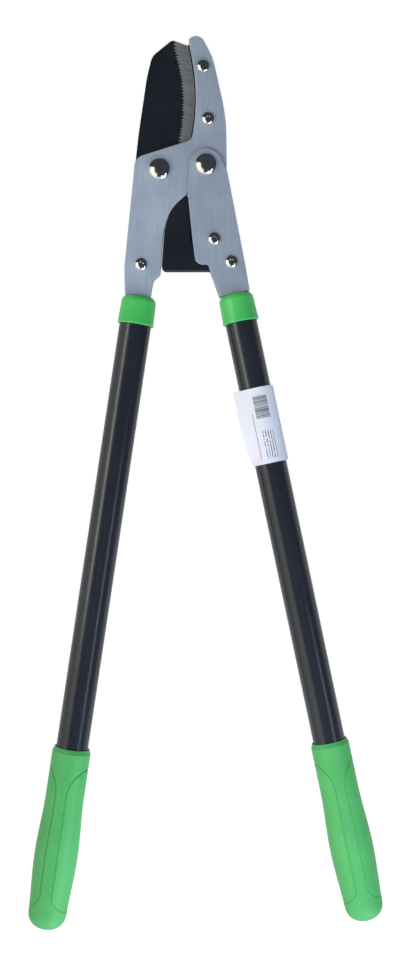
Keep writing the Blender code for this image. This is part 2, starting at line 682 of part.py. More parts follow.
def collar_mesh(name):
    """A tapered cap over the top of the tube, with a rounded shoulder and a small lip, from 0 downwards."""
    bore = TUBE_RADIUS + SEAT
    outer = bore + COLLAR_WALL
    lip_top = COLLAR_LENGTH - COLLAR_LIP_LENGTH
    profile = [(bore, -COLLAR_WEB), (bore, -COLLAR_LENGTH), (outer, -COLLAR_LENGTH), (outer, -lip_top)]
    profile.append((outer - COLLAR_LIP_DEPTH, -lip_top + COLLAR_LIP_DEPTH))
    steps = 5
    for step in range(steps + 1):
        angle = math.pi / 2 * step / steps
        radius = outer - COLLAR_TAPER - COLLAR_TOP_INSET * (1 - math.cos(angle))
        profile.append((radius, -COLLAR_SHOULDER * (1 - math.sin(angle))))
    return lathe_mesh(name, profile, along_handle=True)


def tongue_outline(side):
    """Flat steel tongue: wide between the plates, narrow where it goes into the plug."""
    narrow = TONGUE_IN_PLUG_WIDTH / 2
    small, large = SEAT * 3, TONGUE_STEP
    step = SEAT + TONGUE_STEP
    corners = [(-narrow, -TONGUE_DEPTH, small), (-narrow, SEAT, 0.0), (-TONGUE_INNER, step, 0.0),
               (-TONGUE_INNER, TONGUE_REACH, large), (TONGUE_OUTER, TONGUE_REACH, large),
               (TONGUE_OUTER, step, 0.0), (narrow, SEAT, 0.0), (narrow, -TONGUE_DEPTH, small)]
    return rounded([corner(Vector((x * side, y)), radius) for x, y, radius in corners])


def make_handle(name, line, side, plates_top, green, paint, bright, plain, nylon):
    """Everything along the handle's own line, which starts at the top of the collar and runs down."""
    handle_screw = Vector((HANDLE_SCREW.x * side, HANDLE_SCREW.y))
    pin_at = Vector((0.0, -TUBE_PIN_DEPTH))
    pin_hole = circle(pin_at, TUBE_PIN_RADIUS + RUNNING)
    plate(f"{name}_tongue", tongue_outline(side), -BLADE_HALF, BLADE_HALF,
          [pin_hole, circle(handle_screw, SCREW_HOLE)], plain, line)

    bore = TUBE_RADIUS - TUBE_WALL
    top = -COLLAR_WEB - SEAT
    end = -TUBE_SHOWN - TUBE_IN_GRIP
    walls = [(bore, end), (TUBE_RADIUS, end), (TUBE_RADIUS, top), (bore, top)]
    tube = piece(f"{name}_tube", lathe_mesh(f"{name}_tube", walls, ring=True, along_handle=True), paint,
                 line)
    cut(tube, cutter_mesh(f"pin_hole_of_{name}_tube", [pin_hole]))

    plug_radius = bore - SEAT
    walls = [(plug_radius, top - PLUG_LENGTH), (plug_radius, top)]
    plug = piece(f"{name}_plug", lathe_mesh(f"{name}_plug", walls, along_handle=True), nylon, line)
    across, half = TONGUE_IN_PLUG_WIDTH / 2 + SEAT, BLADE_HALF + SEAT
    slot = [Vector((-across, -TONGUE_DEPTH - SEAT)), Vector((across, -TONGUE_DEPTH - SEAT)),
            Vector((across, THROUGH)), Vector((-across, THROUGH))]
    cut(plug, prism_mesh(f"slot_of_{name}_plug", [slot], -half, half))
    cut(plug, cutter_mesh(f"pin_hole_of_{name}_plug", [pin_hole]))

    pin_half = TUBE_RADIUS - SEAT
    pin = lathe_mesh(f"{name}_tube_pin", [(TUBE_PIN_RADIUS, -pin_half), (TUBE_PIN_RADIUS, pin_half)],
                     SMALL_SIDES)
    piece(f"{name}_tube_pin", pin, plain, line, pin_at)

    collar = piece(f"{name}_collar", collar_mesh(f"{name}_collar"), green, line)
    cut(collar, prism_mesh(f"slot_of_{name}_collar", [slot], -half, half))
    piece(f"{name}_grip", grip_mesh(f"{name}_grip"), green, line, Vector((0.0, -TUBE_SHOWN)))
    screw(f"{name}_handle_screw", handle_screw, plates_top, bright, line)
    screw_nut(f"{name}_handle_nut", handle_screw, plates_top, plain, line)


def label_section(share):
    """Middle line of the label's cross-section, from its stuck edge over the front to its lifted edge."""
    lift = LABEL_LIFT_TOP + (LABEL_LIFT_BOTTOM - LABEL_LIFT_TOP) * share
    radius = TUBE_RADIUS + SEAT + LABEL_THICKNESS / 2
    flap = LABEL_WIDTH - radius * (lift - LABEL_FROM)
    steps = 12
    points = []
    for step in range(steps + 1):
        angle = LABEL_FROM + (lift - LABEL_FROM) * step / steps
        slack = LABEL_SLACK * max(math.cos(angle), 0.0) ** 2
        points.append(turned(Vector((radius + slack, 0.0)), angle))
    points.append(points[-1] + turned(Vector((0.0, 1.0)), lift) * flap)
    return points


def make_label(paper, line):
    """A thin sheet that lifts more and more from top to bottom, so its sides are flat triangles."""
    rows = 6
    bm = bmesh.new()
    rings = []
    for row in range(rows + 1):
        share = row / rows
        middle = label_section(share)
        half = LABEL_THICKNESS / 2
        outline = shifted(middle, -half) + list(reversed(shifted(middle, half)))
        along = -LABEL_DEPTH - LABEL_LENGTH * share
        rings.append([bm.verts.new((p.x, along, p.y)) for p in outline])
    for a, b in zip(rings, rings[1:]):
        for index in range(len(a)):
            after = (index + 1) % len(a)
            bm.faces.new([a[index], a[after], b[after], b[index]])
    bm.faces.new(rings[0])
    bm.faces.new(rings[-1])
    bmesh.ops.triangulate(bm, faces=bm.faces)
    piece("paper_label", mesh_of(bm, "paper_label"), paper, line)


def main():
    clear_scene()
    steel = material("plated_steel", (0.52, 0.56, 0.61), 0.42, 0.8)
    black = material("black_coating", (0.020, 0.023, 0.030), 0.38, 0.0)
    chrome = material("chrome", (0.78, 0.77, 0.75), 0.10, 1.0)
    plain = material("plain_steel", (0.45, 0.45, 0.46), 0.45, 1.0)
    bronze = material("bronze", (0.45, 0.28, 0.12), 0.40, 1.0)
    green = material("green_plastic", (0.075, 0.50, 0.11), 0.50, 0.0)
    paint = material("black_paint", (0.022, 0.024, 0.028), 0.30, 0.0)
    nylon = material("nylon", (0.65, 0.65, 0.62), 0.60, 0.0)
    paper = material("paper", (0.82, 0.84, 0.90), 0.60, 0.0)

    jaw_line = line_of("jaw_line", CENTRE)
    turning_line = line_of("main_pivot_axis", CENTRE)
    blade_line = line_of("blade_pivot_axis", BLADE_PIVOT)
    left_line = line_of("left_handle_line", LEFT_BASE, -LEFT_TILT, jaw_line)
    right_line = line_of("right_handle_line", RIGHT_BASE, RIGHT_TILT, turning_line)

    make_jaw(steel, black, chrome, plain, jaw_line)
    make_blade(black, bronze, plain, blade_line)
    make_power_handle(steel, black, chrome, plain, turning_line)
    make_handle("left", left_line, -1, JAW_OUTER, green, paint, chrome, plain, nylon)
    make_handle("right", right_line, 1, HANDLE_OUTER, green, paint, chrome, plain, nylon)
    make_label(paper, right_line)


main()
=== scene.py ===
# %% [markdown]
# # A long lopper, dressed for its picture
# A lopper cuts branches: a blade swings past a hook, and two long tubes give the hands their leverage.
# The mechanism was built before this script, so it is loaded as a fixed frame. What follows
# gives it its looks. The frame's boxes could be copied by hand, but reading them keeps every new piece in
# its place when a size changes.

# %% Load the imported lopper
import math

import bpy
from mathutils import Matrix, Vector
from mathutils.geometry import intersect_point_line


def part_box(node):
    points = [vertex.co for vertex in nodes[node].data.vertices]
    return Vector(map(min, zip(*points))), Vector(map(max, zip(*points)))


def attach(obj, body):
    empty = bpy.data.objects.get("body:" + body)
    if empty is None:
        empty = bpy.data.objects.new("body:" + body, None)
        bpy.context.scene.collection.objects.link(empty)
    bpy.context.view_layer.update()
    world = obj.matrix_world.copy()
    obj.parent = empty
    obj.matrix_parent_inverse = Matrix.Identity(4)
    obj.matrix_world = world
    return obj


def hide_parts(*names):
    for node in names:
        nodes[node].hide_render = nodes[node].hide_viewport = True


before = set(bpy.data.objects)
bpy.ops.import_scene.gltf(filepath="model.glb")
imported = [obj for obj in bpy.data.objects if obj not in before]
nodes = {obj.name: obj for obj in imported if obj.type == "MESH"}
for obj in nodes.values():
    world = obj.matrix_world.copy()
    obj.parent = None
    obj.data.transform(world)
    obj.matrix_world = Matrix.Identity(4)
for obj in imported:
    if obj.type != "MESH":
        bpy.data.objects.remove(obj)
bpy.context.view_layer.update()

MM = 0.001
CLEARANCE = 0.3 * MM            # all round, between a piece and what it is put on

# %% [markdown]
# ## Where things are
# Turned parts stand on an axis, and the middle of a part's box lies on it. Two such middles give the line
# of a handle: the middle of the tube, and the pin through its upper end. A matrix for each handle lets
# its pieces be modelled upright at the origin, which is the easiest place to think, and be moved once.

# %% The middle plane and the two handle lines
TUBE_PIN_DEPTH = 13.0 * MM      # of the pin, below the top of the collar


def middle_of(node):
    low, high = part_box(node)
    return (low + high) / 2


def handle_line(side):
    """Turns upright work into the line of a handle: 0 is the top of its collar, and -Y becomes the front."""
    pin = middle_of(f"{side}_tube_pin")
    upwards = (pin - middle_of(f"{side}_tube")).normalized()
    tilt = math.atan2(-upwards.x, upwards.y)
    turn = Matrix.Rotation(tilt, 4, "Z") @ Matrix.Rotation(-math.pi / 2, 4, "X")
    return Matrix.Translation(pin + upwards * TUBE_PIN_DEPTH) @ turn


HANDLE_BODY = {"left": "frame", "right": "right_handle"}
MIDDLE = middle_of("blade").z
lines = {side: handle_line(side) for side in HANDLE_BODY}
for side, line in lines.items():
    print(side, "collar top in mm:", [round(value / MM, 1) for value in line.translation])

# %% [markdown]
# ## The camera
# The lopper was photographed lying flat, from straight above. A lens of about 52 mm on a 36 mm sensor,
# a little over a metre up, gives the slight perspective that shows the ends of the grips. A parallel
# camera would be simpler and would lose that.

# %% Camera above the middle of the lopper
CAMERA_PLACE = (-0.0008, -0.2508, 1.126)
LENS = 51.9                     # in mm, as the sensor
SENSOR = 36.0
bpy.ops.object.select_all(action="DESELECT")
bpy.ops.object.camera_add(location=CAMERA_PLACE, rotation=(0.0, 0.0, 0.0))
camera = bpy.context.object
camera.name = "camera_above"
camera.data.lens = LENS
camera.data.sensor_width = SENSOR
bpy.context.scene.camera = camera
print("camera", round(camera.location.z - MIDDLE, 3), "m above the blade")

# %% [markdown]
# ## Floor, sky and lamps
# Chrome shows the room it stands in, so the room is built first: a dim sky with soft windows on the side
# of the grips, a warm one on the left, a cool one on its right, and a low pale one between them. Each
# window lies inside two planes through the object and below a height, which gives it the straight borders
# that a round head mirrors. A picture of a room would do the same but can't be used here. Two long lamps
# draw a streak along either side of the tubes, two small ones light the grips, and a round one stands
# behind them. The one over the right grip and the high one are hidden from mirrors, because the real heads
# and tubes show nothing bright where they hang. Floor and background look white because part of their
# colour is added for the rays that see them: from the camera, or by way of metal and glass.

# %% Two helpers for shader nodes
def shader_node(tree, kind, sockets=(), **settings):
    """Adds a node, then sets its settings, and sets or links its sockets."""
    made = tree.nodes.new(kind)
    for name, value in settings.items():
        setattr(made, name, value)
    for name, value in dict(sockets).items():
        if isinstance(value, bpy.types.NodeSocket):
            tree.links.new(value, made.inputs[name])
        else:
            made.inputs[name].default_value = value
    return made


def calculate(tree, operation, *values):
    """One step of arithmetic on plain numbers and sockets."""
    return shader_node(tree, "ShaderNodeMath", enumerate(values), operation=operation).outputs[0]


# %% A dim sky with its windows
# Each window: its colour, its strengths at the horizon and at its top, the sine of the height of its top
# (1.2 leaves it open overhead), and the normals of the two planes that bound it.
WINDOWS = (
    ((1.00, 0.95, 0.77), (0.80, 1.60), 0.80, ((-0.375, -0.927, 0.0), (-0.906, 0.423, 0.0))),
    ((0.88, 0.95, 1.00), (5.0, 5.0), 1.2, ((-0.466, -0.723, -0.510), (0.940, 0.342, 0.0))),
    ((0.90, 0.96, 1.00), (1.1, 1.1), 0.62, ((-0.900, -0.436, 0.0), (0.900, -0.436, 0.0))),
)
WINDOW_SOFTNESS = 0.07
SKY_DIM = (0.055, 0.062, 0.075)
HORIZON_BELT = (0.01, 0.05)     # sines of the heights where mirrors stop to see a white background


def seen_directly(tree, share):
    """1 for the rays of the camera, and a share for those that come by way of metal and glass."""
    path = shader_node(tree, "ShaderNodeLightPath").outputs
    mirrored = calculate(tree, "MAXIMUM", path["Is Glossy Ray"], path["Is Transmission Ray"])
    return calculate(tree, "MAXIMUM", path["Is Camera Ray"], calculate(tree, "MULTIPLY", mirrored, share))


def ramp_up(tree, value, start, end, high=1.0):
    """0 up to a start, and a smooth rise to a high value at the end."""
    return shader_node(tree, "ShaderNodeMapRange", {"Value": value, "From Min": start, "From Max": end,
                                                    "To Min": 0.0, "To Max": high},
                       interpolation_type="SMOOTHSTEP").outputs["Result"]


world = bpy.data.worlds.new("studio")
bpy.context.scene.world = world
world.use_nodes = True
sky = world.node_tree
sky.nodes.clear()
direction = shader_node(sky, "ShaderNodeTexCoord").outputs["Generated"]
total = shader_node(sky, "ShaderNodeCombineXYZ", enumerate(SKY_DIM)).outputs[0]
height = shader_node(sky, "ShaderNodeSeparateXYZ", {0: direction}).outputs["Z"]
for colour, (at_foot, at_top), top, planes in WINDOWS:
    over = ramp_up(sky, height, top - WINDOW_SOFTNESS, top + WINDOW_SOFTNESS)
    under = calculate(sky, "SUBTRACT", 1.0, over)
    strength = shader_node(sky, "ShaderNodeMapRange", {"Value": height, "From Max": top, "To Min": at_foot,
                                                       "To Max": at_top}).outputs["Result"]
    level = calculate(sky, "MULTIPLY", strength, under)
    for normal in planes:
        inside_by = shader_node(sky, "ShaderNodeVectorMath", {0: direction, 1: Vector(normal).normalized()},
                                operation="DOT_PRODUCT").outputs["Value"]
        side = ramp_up(sky, inside_by, -WINDOW_SOFTNESS, WINDOW_SOFTNESS)
        level = calculate(sky, "MULTIPLY", side, level)
    light = shader_node(sky, "ShaderNodeVectorMath", {0: colour, "Scale": level},
                        operation="SCALE").outputs[0]
    total = shader_node(sky, "ShaderNodeVectorMath", {0: total, 1: light}, operation="ADD").outputs[0]
soft = shader_node(sky, "ShaderNodeBackground", {"Color": total, "Strength": 1.0})
white = shader_node(sky, "ShaderNodeBackground", {"Color": (1.0, 1.0, 1.0, 1.0), "Strength": 1.0})
belt = calculate(sky, "SUBTRACT", 1.0, ramp_up(sky, height, *HORIZON_BELT))
either = shader_node(sky, "ShaderNodeMixShader",
                     {0: seen_directly(sky, belt), 1: soft.outputs[0], 2: white.outputs[0]})
shader_node(sky, "ShaderNodeOutputWorld", {"Surface": either.outputs[0]})
print("windows in the sky:", len(WINDOWS))

# %% Six lamps
# Each lamp: its place, what it points at, its shape, its sizes, its power in watts and its colour.
HIDDEN_FROM_MIRRORS = ("right_grip_lamp", "high_lamp")
LAMPS = {
    "left_lamp": ((-0.62, -0.08, 0.52), (0.0, -0.08, 0.0), "RECTANGLE", (0.56, 0.15), 1.35,
                  (1.00, 0.97, 0.90)),
    "right_lamp": ((0.62, -0.58, 0.62), (0.0, -0.48, 0.0), "RECTANGLE", (0.44, 0.15), 0.72,
                   (0.80, 0.92, 1.00)),
    "back_lamp": ((0.38, -1.20, 0.80), (0.0, -0.40, 0.0), "DISK", (0.45, 0.45), 0.9,
                  (0.88, 0.96, 1.00)),
    "left_grip_lamp": ((-0.015, -0.60, 0.09), (-0.13, -0.575, 0.0), "RECTANGLE", (0.16, 0.06), 0.07,
                       (0.75, 0.90, 1.00)),
    "right_grip_lamp": ((0.11, -0.55, 0.24), (0.12, -0.55, 0.0), "DISK", (0.15, 0.15), 0.25,
                        (0.74, 0.88, 1.00)),
    "high_lamp": ((0.04, -0.42, 1.45), (0.0, -0.20, 0.0), "DISK", (0.35, 0.35), 8.2,
                  (1.00, 0.98, 0.96)),
}

for name, (place, target, shape, sizes, power, colour) in LAMPS.items():
    bpy.ops.object.light_add(type="AREA", location=place)
    lamp = bpy.context.object
    lamp.name = name
    lamp.data.shape = shape
    lamp.data.size = sizes[0]
    lamp.data.size_y = sizes[1]     # only a rectangle uses it
    lamp.data.energy = power
    lamp.data.color = colour
    lamp.rotation_euler = (Vector(target) - Vector(place)).to_track_quat("-Z", "Y").to_euler()
    lamp.visible_camera = False
    lamp.visible_glossy = name not in HIDDEN_FROM_MIRRORS
    print(name, power, "W")

# %% The pale floor
FLOOR_MIDDLE = (0.0, -0.25, 0.0)
FLOOR_WIDTH = 40.0
FLOOR_GREY = 0.40
FLOOR_ADDED = 0.76              # near the lopper
LAMPLIGHT_ENDS = (0.8, 2.6)     # metres from the lopper where the lamps start to fade and are faint
FLOOR_MIRRORED = 0.55           # the share of it that mirrors see, because they don't clip at white

bpy.ops.mesh.primitive_plane_add(size=FLOOR_WIDTH, location=FLOOR_MIDDLE)
floor = bpy.context.object
floor.name = "floor"
paint = bpy.data.materials.new("pale_floor")
paint.use_nodes = True
tree = paint.node_tree
tree.nodes.clear()
matt = shader_node(tree, "ShaderNodeBsdfDiffuse", {"Color": (FLOOR_GREY, FLOOR_GREY, FLOOR_GREY, 1.0)})
seen = seen_directly(tree, FLOOR_MIRRORED)
on_floor = shader_node(tree, "ShaderNodeTexCoord").outputs["Object"]
away = shader_node(tree, "ShaderNodeVectorMath", {0: on_floor}, operation="LENGTH").outputs["Value"]
farther = ramp_up(tree, away, *LAMPLIGHT_ENDS, 1.0 - FLOOR_ADDED)
added = calculate(tree, "MULTIPLY", seen, calculate(tree, "ADD", farther, FLOOR_ADDED))
glow = shader_node(tree, "ShaderNodeEmission", {"Strength": added})
both = shader_node(tree, "ShaderNodeAddShader", {0: matt.outputs[0], 1: glow.outputs[0]})
shader_node(tree, "ShaderNodeOutputMaterial", {"Surface": both.outputs[0]})
floor.data.materials.append(paint)
bpy.context.scene.view_settings.view_transform = "Standard"

# %% [markdown]
# ## Finishes
# Each finish is one material made of procedural patterns on Object coordinates, which are metres here, so
# a pattern's scale is a count per metre. A picture could be wrapped round the parts instead, but patterns
# stay sharp at any distance and need no unwrapping. Every finish has a slow change of colour and a bump for
# what the fingers would feel, and all but nylon and paper have a fine grain in their roughness.

# %% Helpers for finishes
def new_finish(name, roughness, metallic=0.0, **more):
    """A material with its shader set up and its object coordinates at hand."""
    finish = bpy.data.materials.new(name)
    finish.use_nodes = True
    tree = finish.node_tree
    shader = tree.nodes["Principled BSDF"]
    shader.inputs["Roughness"].default_value = roughness
    shader.inputs["Metallic"].default_value = metallic
    for socket, value in more.items():
        shader.inputs[socket.replace("_", " ")].default_value = value
    place = shader_node(tree, "ShaderNodeTexCoord").outputs["Object"]
    return finish, tree, shader, place


def noise(tree, place, scale, detail=3.0, stretch=None):
    """A cloudy pattern. stretch squeezes it along some axes into streaks."""
    if stretch:
        place = shader_node(tree, "ShaderNodeMapping", {"Vector": place, "Scale": stretch}).outputs[0]
    made = shader_node(tree, "ShaderNodeTexNoise", {"Vector": place, "Scale": scale, "Detail": detail})
    return made.outputs["Fac"]


def between(tree, factor, low, high, start=0.3, end=0.7):
    """Turns a pattern's value into a colour between two colours."""
    ramp = shader_node(tree, "ShaderNodeValToRGB", {"Fac": factor})
    ramp.color_ramp.elements[0].position = start
    ramp.color_ramp.elements[0].color = (*low, 1.0)
    ramp.color_ramp.elements[1].position = end
    ramp.color_ramp.elements[1].color = (*high, 1.0)
    return ramp.outputs["Color"]


def number(tree, factor, low, high, start=0.3, end=0.7):
    """Turns a pattern's value into a number between two numbers."""
    made = shader_node(tree, "ShaderNodeMapRange",
                       {"Value": factor, "From Min": start, "From Max": end, "To Min": low, "To Max": high})
    return made.outputs["Result"]


def bump(tree, shader, height, depth):
    """Lets a pattern raise the surface by a depth in metres."""
    made = shader_node(tree, "ShaderNodeBump", {"Height": height, "Distance": depth, "Strength": 1.0})
    tree.links.new(made.outputs["Normal"], shader.inputs["Normal"])


def clouded(tree, shader, clouds, low, high):
    """Lets a slow pattern change the colour between two colours."""
    tree.links.new(between(tree, clouds, low, high), shader.inputs["Base Color"])


def grained(tree, shader, grain, low, high, depth):
    """Lets one fine pattern change the roughness between two numbers, and raise the surface."""
    tree.links.new(number(tree, grain, low, high), shader.inputs["Roughness"])
    bump(tree, shader, grain, depth)


# %% [markdown]
# ### Plated steel
# The outer plates are stamped and plated a soft blue-grey. They have no polish: the plating is cloudy over
# a few centimetres, has a fine grain, and a few faint lines from the rolling of the sheet. Their colour is
# also painted lighter on the left and darker on the hook's side, as painted light and shade.

# %% Plated steel
def plated_steel():
    finish, tree, shader, place = new_finish("plated_steel", 0.42, metallic=0.25)
    clouds = noise(tree, place, 38.0, detail=4.0)
    rolled = noise(tree, place, 60.0, stretch=(14.0, 0.6, 14.0))
    grain = noise(tree, place, 2600.0, detail=2.0)
    cloudy = between(tree, clouds, (0.312, 0.384, 0.506), (0.388, 0.466, 0.600))
    lined = between(tree, rolled, (0.93, 0.93, 0.94), (1.04, 1.04, 1.03), 0.35, 0.65)
    colour = shader_node(tree, "ShaderNodeMix", {6: cloudy, 7: lined, 0: 1.0}, data_type="RGBA",
                         blend_type="MULTIPLY")
    # Painted light and shade: the colour is scaled up on the left and down towards the hook on the right.
    to_the_right = shader_node(tree, "ShaderNodeSeparateXYZ", {0: place}).outputs["X"]
    painted_light_falloff = number(tree, to_the_right, 1.12, 0.93, -45.0 * MM, 15.0 * MM)
    shade = shader_node(tree, "ShaderNodeVectorMath", {0: colour.outputs[2], "Scale": painted_light_falloff},
                        operation="SCALE")
    tree.links.new(shade.outputs[0], shader.inputs["Base Color"])
    grained(tree, shader, grain, 0.36, 0.50, 0.02 * MM)
    return finish


plated = plated_steel()
print("finish:", plated.name)

# %% [markdown]
# ### Black coating, with a bare ground edge
# Blade, anvil and the two inner plates have a smooth dark coating, blue-black in the light. On the blade
# the grinding wheel took the coating off along the edge and left a ragged border. The border follows the
# edge, so it can't come from plain coordinates: the blade's mesh carries its own distance from the
# border, and the finish reads it.

# %% Black coating
COAT_LOW = (0.0060, 0.0088, 0.0152)
COAT_HIGH = (0.0110, 0.0142, 0.0222)


def black_coating():
    finish, tree, shader, place = new_finish("black_coating", 0.36)
    clouded(tree, shader, noise(tree, place, 55.0, detail=4.0), COAT_LOW, COAT_HIGH)
    grained(tree, shader, noise(tree, place, 1900.0, detail=2.0), 0.30, 0.44, 0.03 * MM)
    return finish


coated = black_coating()
print("finish:", coated.name)

# %% Coating with the ground edge, for the blade
TOOTH_PITCH = 2.4 * MM          # of the ragged border
TOOTH_DEPTH = 1.8 * MM
BORDER_WANDER = (-1.4 * MM, -0.2 * MM)      # how far it strays towards the edge
BORDER_BLUR = 0.12 * MM


def ground_blade():
    finish, tree, shader, place = new_finish("ground_blade", 0.36)
    along = shader_node(tree, "ShaderNodeSeparateXYZ", {0: place}).outputs["Y"]
    teeth = calculate(tree, "PINGPONG", along, TOOTH_PITCH / 2)
    ragged = calculate(tree, "MULTIPLY", teeth, 2 * TOOTH_DEPTH / TOOTH_PITCH)
    wander = number(tree, noise(tree, place, 420.0), *BORDER_WANDER)
    border = calculate(tree, "ADD", ragged, wander)
    beyond = shader_node(tree, "ShaderNodeAttribute", attribute_name="beyond_border").outputs["Fac"]
    past = calculate(tree, "SUBTRACT", beyond, border)
    coat = number(tree, past, 0.0, 1.0, -BORDER_BLUR, BORDER_BLUR)
    dark = between(tree, noise(tree, place, 55.0, detail=4.0), COAT_LOW, COAT_HIGH)
    wheel = noise(tree, place, 500.0, stretch=(0.10, 1.0, 1.0))
    bare = between(tree, wheel, (0.270, 0.292, 0.325), (0.385, 0.405, 0.435))
    colour = shader_node(tree, "ShaderNodeMix", {0: coat, 6: bare, 7: dark}, data_type="RGBA")
    tree.links.new(colour.outputs[2], shader.inputs["Base Color"])
    tree.links.new(number(tree, coat, 0.62, 0.0, 0.0, 1.0), shader.inputs["Metallic"])
    grain = noise(tree, place, 1900.0, detail=2.0)
    worn = shader_node(tree, "ShaderNodeMix", {0: coat, 2: wheel, 3: grain}, data_type="FLOAT")
    grained(tree, shader, worn.outputs[0], 0.30, 0.46, 0.03 * MM)
    return finish


ground = ground_blade()
print("finish:", ground.name)

# %% [markdown]
# ### Bright and plain steel, and bronze
# The heads that show in front are polished and chromed, with a little haze. What holds them behind is
# plain zinc plate, duller and a little yellow. The bush in the blade is sintered bronze.

# %% Chrome
def chrome_plate():
    finish, tree, shader, place = new_finish("chrome", 0.09, metallic=1.0)
    clouded(tree, shader, noise(tree, place, 240.0), (0.58, 0.57, 0.55), (0.68, 0.67, 0.65))
    grained(tree, shader, noise(tree, place, 900.0, detail=5.0), 0.05, 0.16, 0.01 * MM)
    return finish


chrome = chrome_plate()
print("finish:", chrome.name)

# %% Zinc and bronze
def dull_metal(name, low, high, roughness, grain_size):
    """A metal with a cloudy colour and a grain of that many metres."""
    finish, tree, shader, place = new_finish(name, roughness, metallic=0.9)
    clouded(tree, shader, noise(tree, place, 160.0), low, high)
    grained(tree, shader, noise(tree, place, 1 / grain_size), roughness - 0.08, roughness + 0.10, 0.02 * MM)
    return finish


zinc = dull_metal("zinc_plate", (0.42, 0.42, 0.40), (0.56, 0.55, 0.50), 0.36, 0.7 * MM)
bronze = dull_metal("sintered_bronze", (0.36, 0.21, 0.09), (0.50, 0.31, 0.13), 0.42, 0.3 * MM)
print("finishes:", zinc.name, bronze.name)

# %% [markdown]
# ### Green plastic
# Grips are moulded in a bright green, and collars in a harder, glossier one that is stronger. The collars'
# green is also painted lighter and the grips' darker, as painted light and shade that even out how much
# lamplight each gets. Moulded plastic is never quite even: it has a fine spark-eroded texture that keeps it
# matt, and its colour shifts a little over a few centimetres.

# %% Green plastic
def green_plastic(name, low, high, roughness):
    finish, tree, shader, place = new_finish(name, roughness)
    clouded(tree, shader, noise(tree, place, 26.0), low, high)
    texture = noise(tree, place, 2100.0, detail=2.0)
    grained(tree, shader, texture, roughness - 0.06, roughness + 0.08, 0.05 * MM)
    return finish


# Painted shade: the grips' green is darker than the plastic's own, to offset the stronger lamplight on them.
grip_green = green_plastic("grip_green", (0.061, 0.381, 0.098), (0.078, 0.423, 0.132), 0.46)
# Painted light: the collars' green is lighter than the plastic's own, to make up for the shade that falls on
# them.
collar_green = green_plastic("collar_green", (0.062, 0.530, 0.114), (0.078, 0.580, 0.140), 0.34)
print("finishes:", grip_green.name, collar_green.name)

# %% [markdown]
# ### Black paint, nylon and paper
# The tubes are sprayed a satin black, with the faint orange peel of a sprayed coat. The plug inside each
# tube is off-white nylon. The label is paper with a soft tooth, and its own two coordinates carry a made-up
# pattern of uneven bars and rules.

# %% Black paint and nylon
def black_paint():
    finish, tree, shader, place = new_finish("black_paint", 0.24, Specular_IOR_Level=0.42)
    clouded(tree, shader, noise(tree, place, 18.0), (0.0140, 0.0172, 0.0262), (0.0190, 0.0232, 0.0335))
    grained(tree, shader, noise(tree, place, 620.0, detail=2.0), 0.19, 0.28, 0.02 * MM)
    return finish


def plain_nylon():
    finish, tree, shader, place = new_finish("nylon", 0.55)
    clouded(tree, shader, noise(tree, place, 90.0), (0.56, 0.55, 0.50), (0.66, 0.65, 0.60))
    bump(tree, shader, noise(tree, place, 1500.0), 0.03 * MM)
    return finish


satin = black_paint()
nylon = plain_nylon()
print("finishes:", satin.name, nylon.name)

# %% Paper with bars and rules
INK = (0.055, 0.065, 0.090)
# Each block: where it lies across the sheet and along it, from the lower left corner.
BARS = ((0.38, 0.65), (0.595, 0.895))
THICK_BAR = ((0.38, 0.65), (0.69, 0.712))
BAR_SCALE = 68.0                # of the noise that makes them uneven
RULES = ((0.39, 0.61), (0.06, 0.43))
RULE_PITCH = 0.049
RULE_SHARE = 0.38               # of the pitch that is inked
LONG_RULE = ((0.710, 0.722), (0.055, 0.67))


def inside(tree, across, along, block):
    """1 within a block of the sheet and 0 outside it."""
    within = [calculate(tree, "COMPARE", value, (start + end) / 2, (end - start) / 2)
              for value, (start, end) in zip((across, along), block)]
    return calculate(tree, "MULTIPLY", *within)


def stripes(tree, value, pitch, share):
    """1 on a share of each pitch."""
    return calculate(tree, "LESS_THAN", calculate(tree, "PINGPONG", value, pitch / 2), pitch / 2 * share)


def label_paper():
    finish, tree, shader, place = new_finish("label_paper", 0.62)
    sheet = shader_node(tree, "ShaderNodeUVMap", uv_map="sheet").outputs[0]
    split = shader_node(tree, "ShaderNodeSeparateXYZ", {0: sheet})
    across, along = split.outputs["X"], split.outputs["Y"]
    # Painted shade: the paper's own bluish white is painted bluer on the right, where the sheet wraps away
    # round the tube, and warmer towards the flap on the left.
    pale = between(tree, across, (0.66, 0.78, 0.95), (0.75, 0.76, 0.89), 0.05, 0.75)
    height = shader_node(tree, "ShaderNodeCombineXYZ", {"Y": along}).outputs[0]
    uneven = number(tree, noise(tree, height, BAR_SCALE, detail=1.0), 0.35, 1.0, 0.47, 0.53)
    bars = calculate(tree, "MULTIPLY", inside(tree, across, along, BARS), uneven)
    broken = number(tree, noise(tree, place, 700.0), 0.0, 1.0, 0.40, 0.46)
    rules = calculate(tree, "MULTIPLY", inside(tree, across, along, RULES),
                      stripes(tree, across, RULE_PITCH, RULE_SHARE))
    printed = calculate(tree, "MULTIPLY", rules, broken)
    for block in (bars, inside(tree, across, along, THICK_BAR), inside(tree, across, along, LONG_RULE)):
        printed = calculate(tree, "MAXIMUM", printed, block)
    faded = number(tree, noise(tree, place, 900.0), 0.72, 0.96)
    ink = calculate(tree, "MULTIPLY", printed, faded)
    colour = shader_node(tree, "ShaderNodeMix", {0: ink, 6: pale, 7: (*INK, 1.0)}, data_type="RGBA")
    tree.links.new(colour.outputs[2], shader.inputs["Base Color"])
    bump(tree, shader, noise(tree, place, 1400.0, detail=4.0), 0.03 * MM)
    return finish


paper = label_paper()
print("finish:", paper.name)

# %% [markdown]
# ## Working helpers
# Blender's operators act on what is selected, so each helper first selects one piece alone. A turned
# piece is drawn as half of its outline and spun: the same outline could be built as a stack of rings, but
# the spin keeps it one list of points.

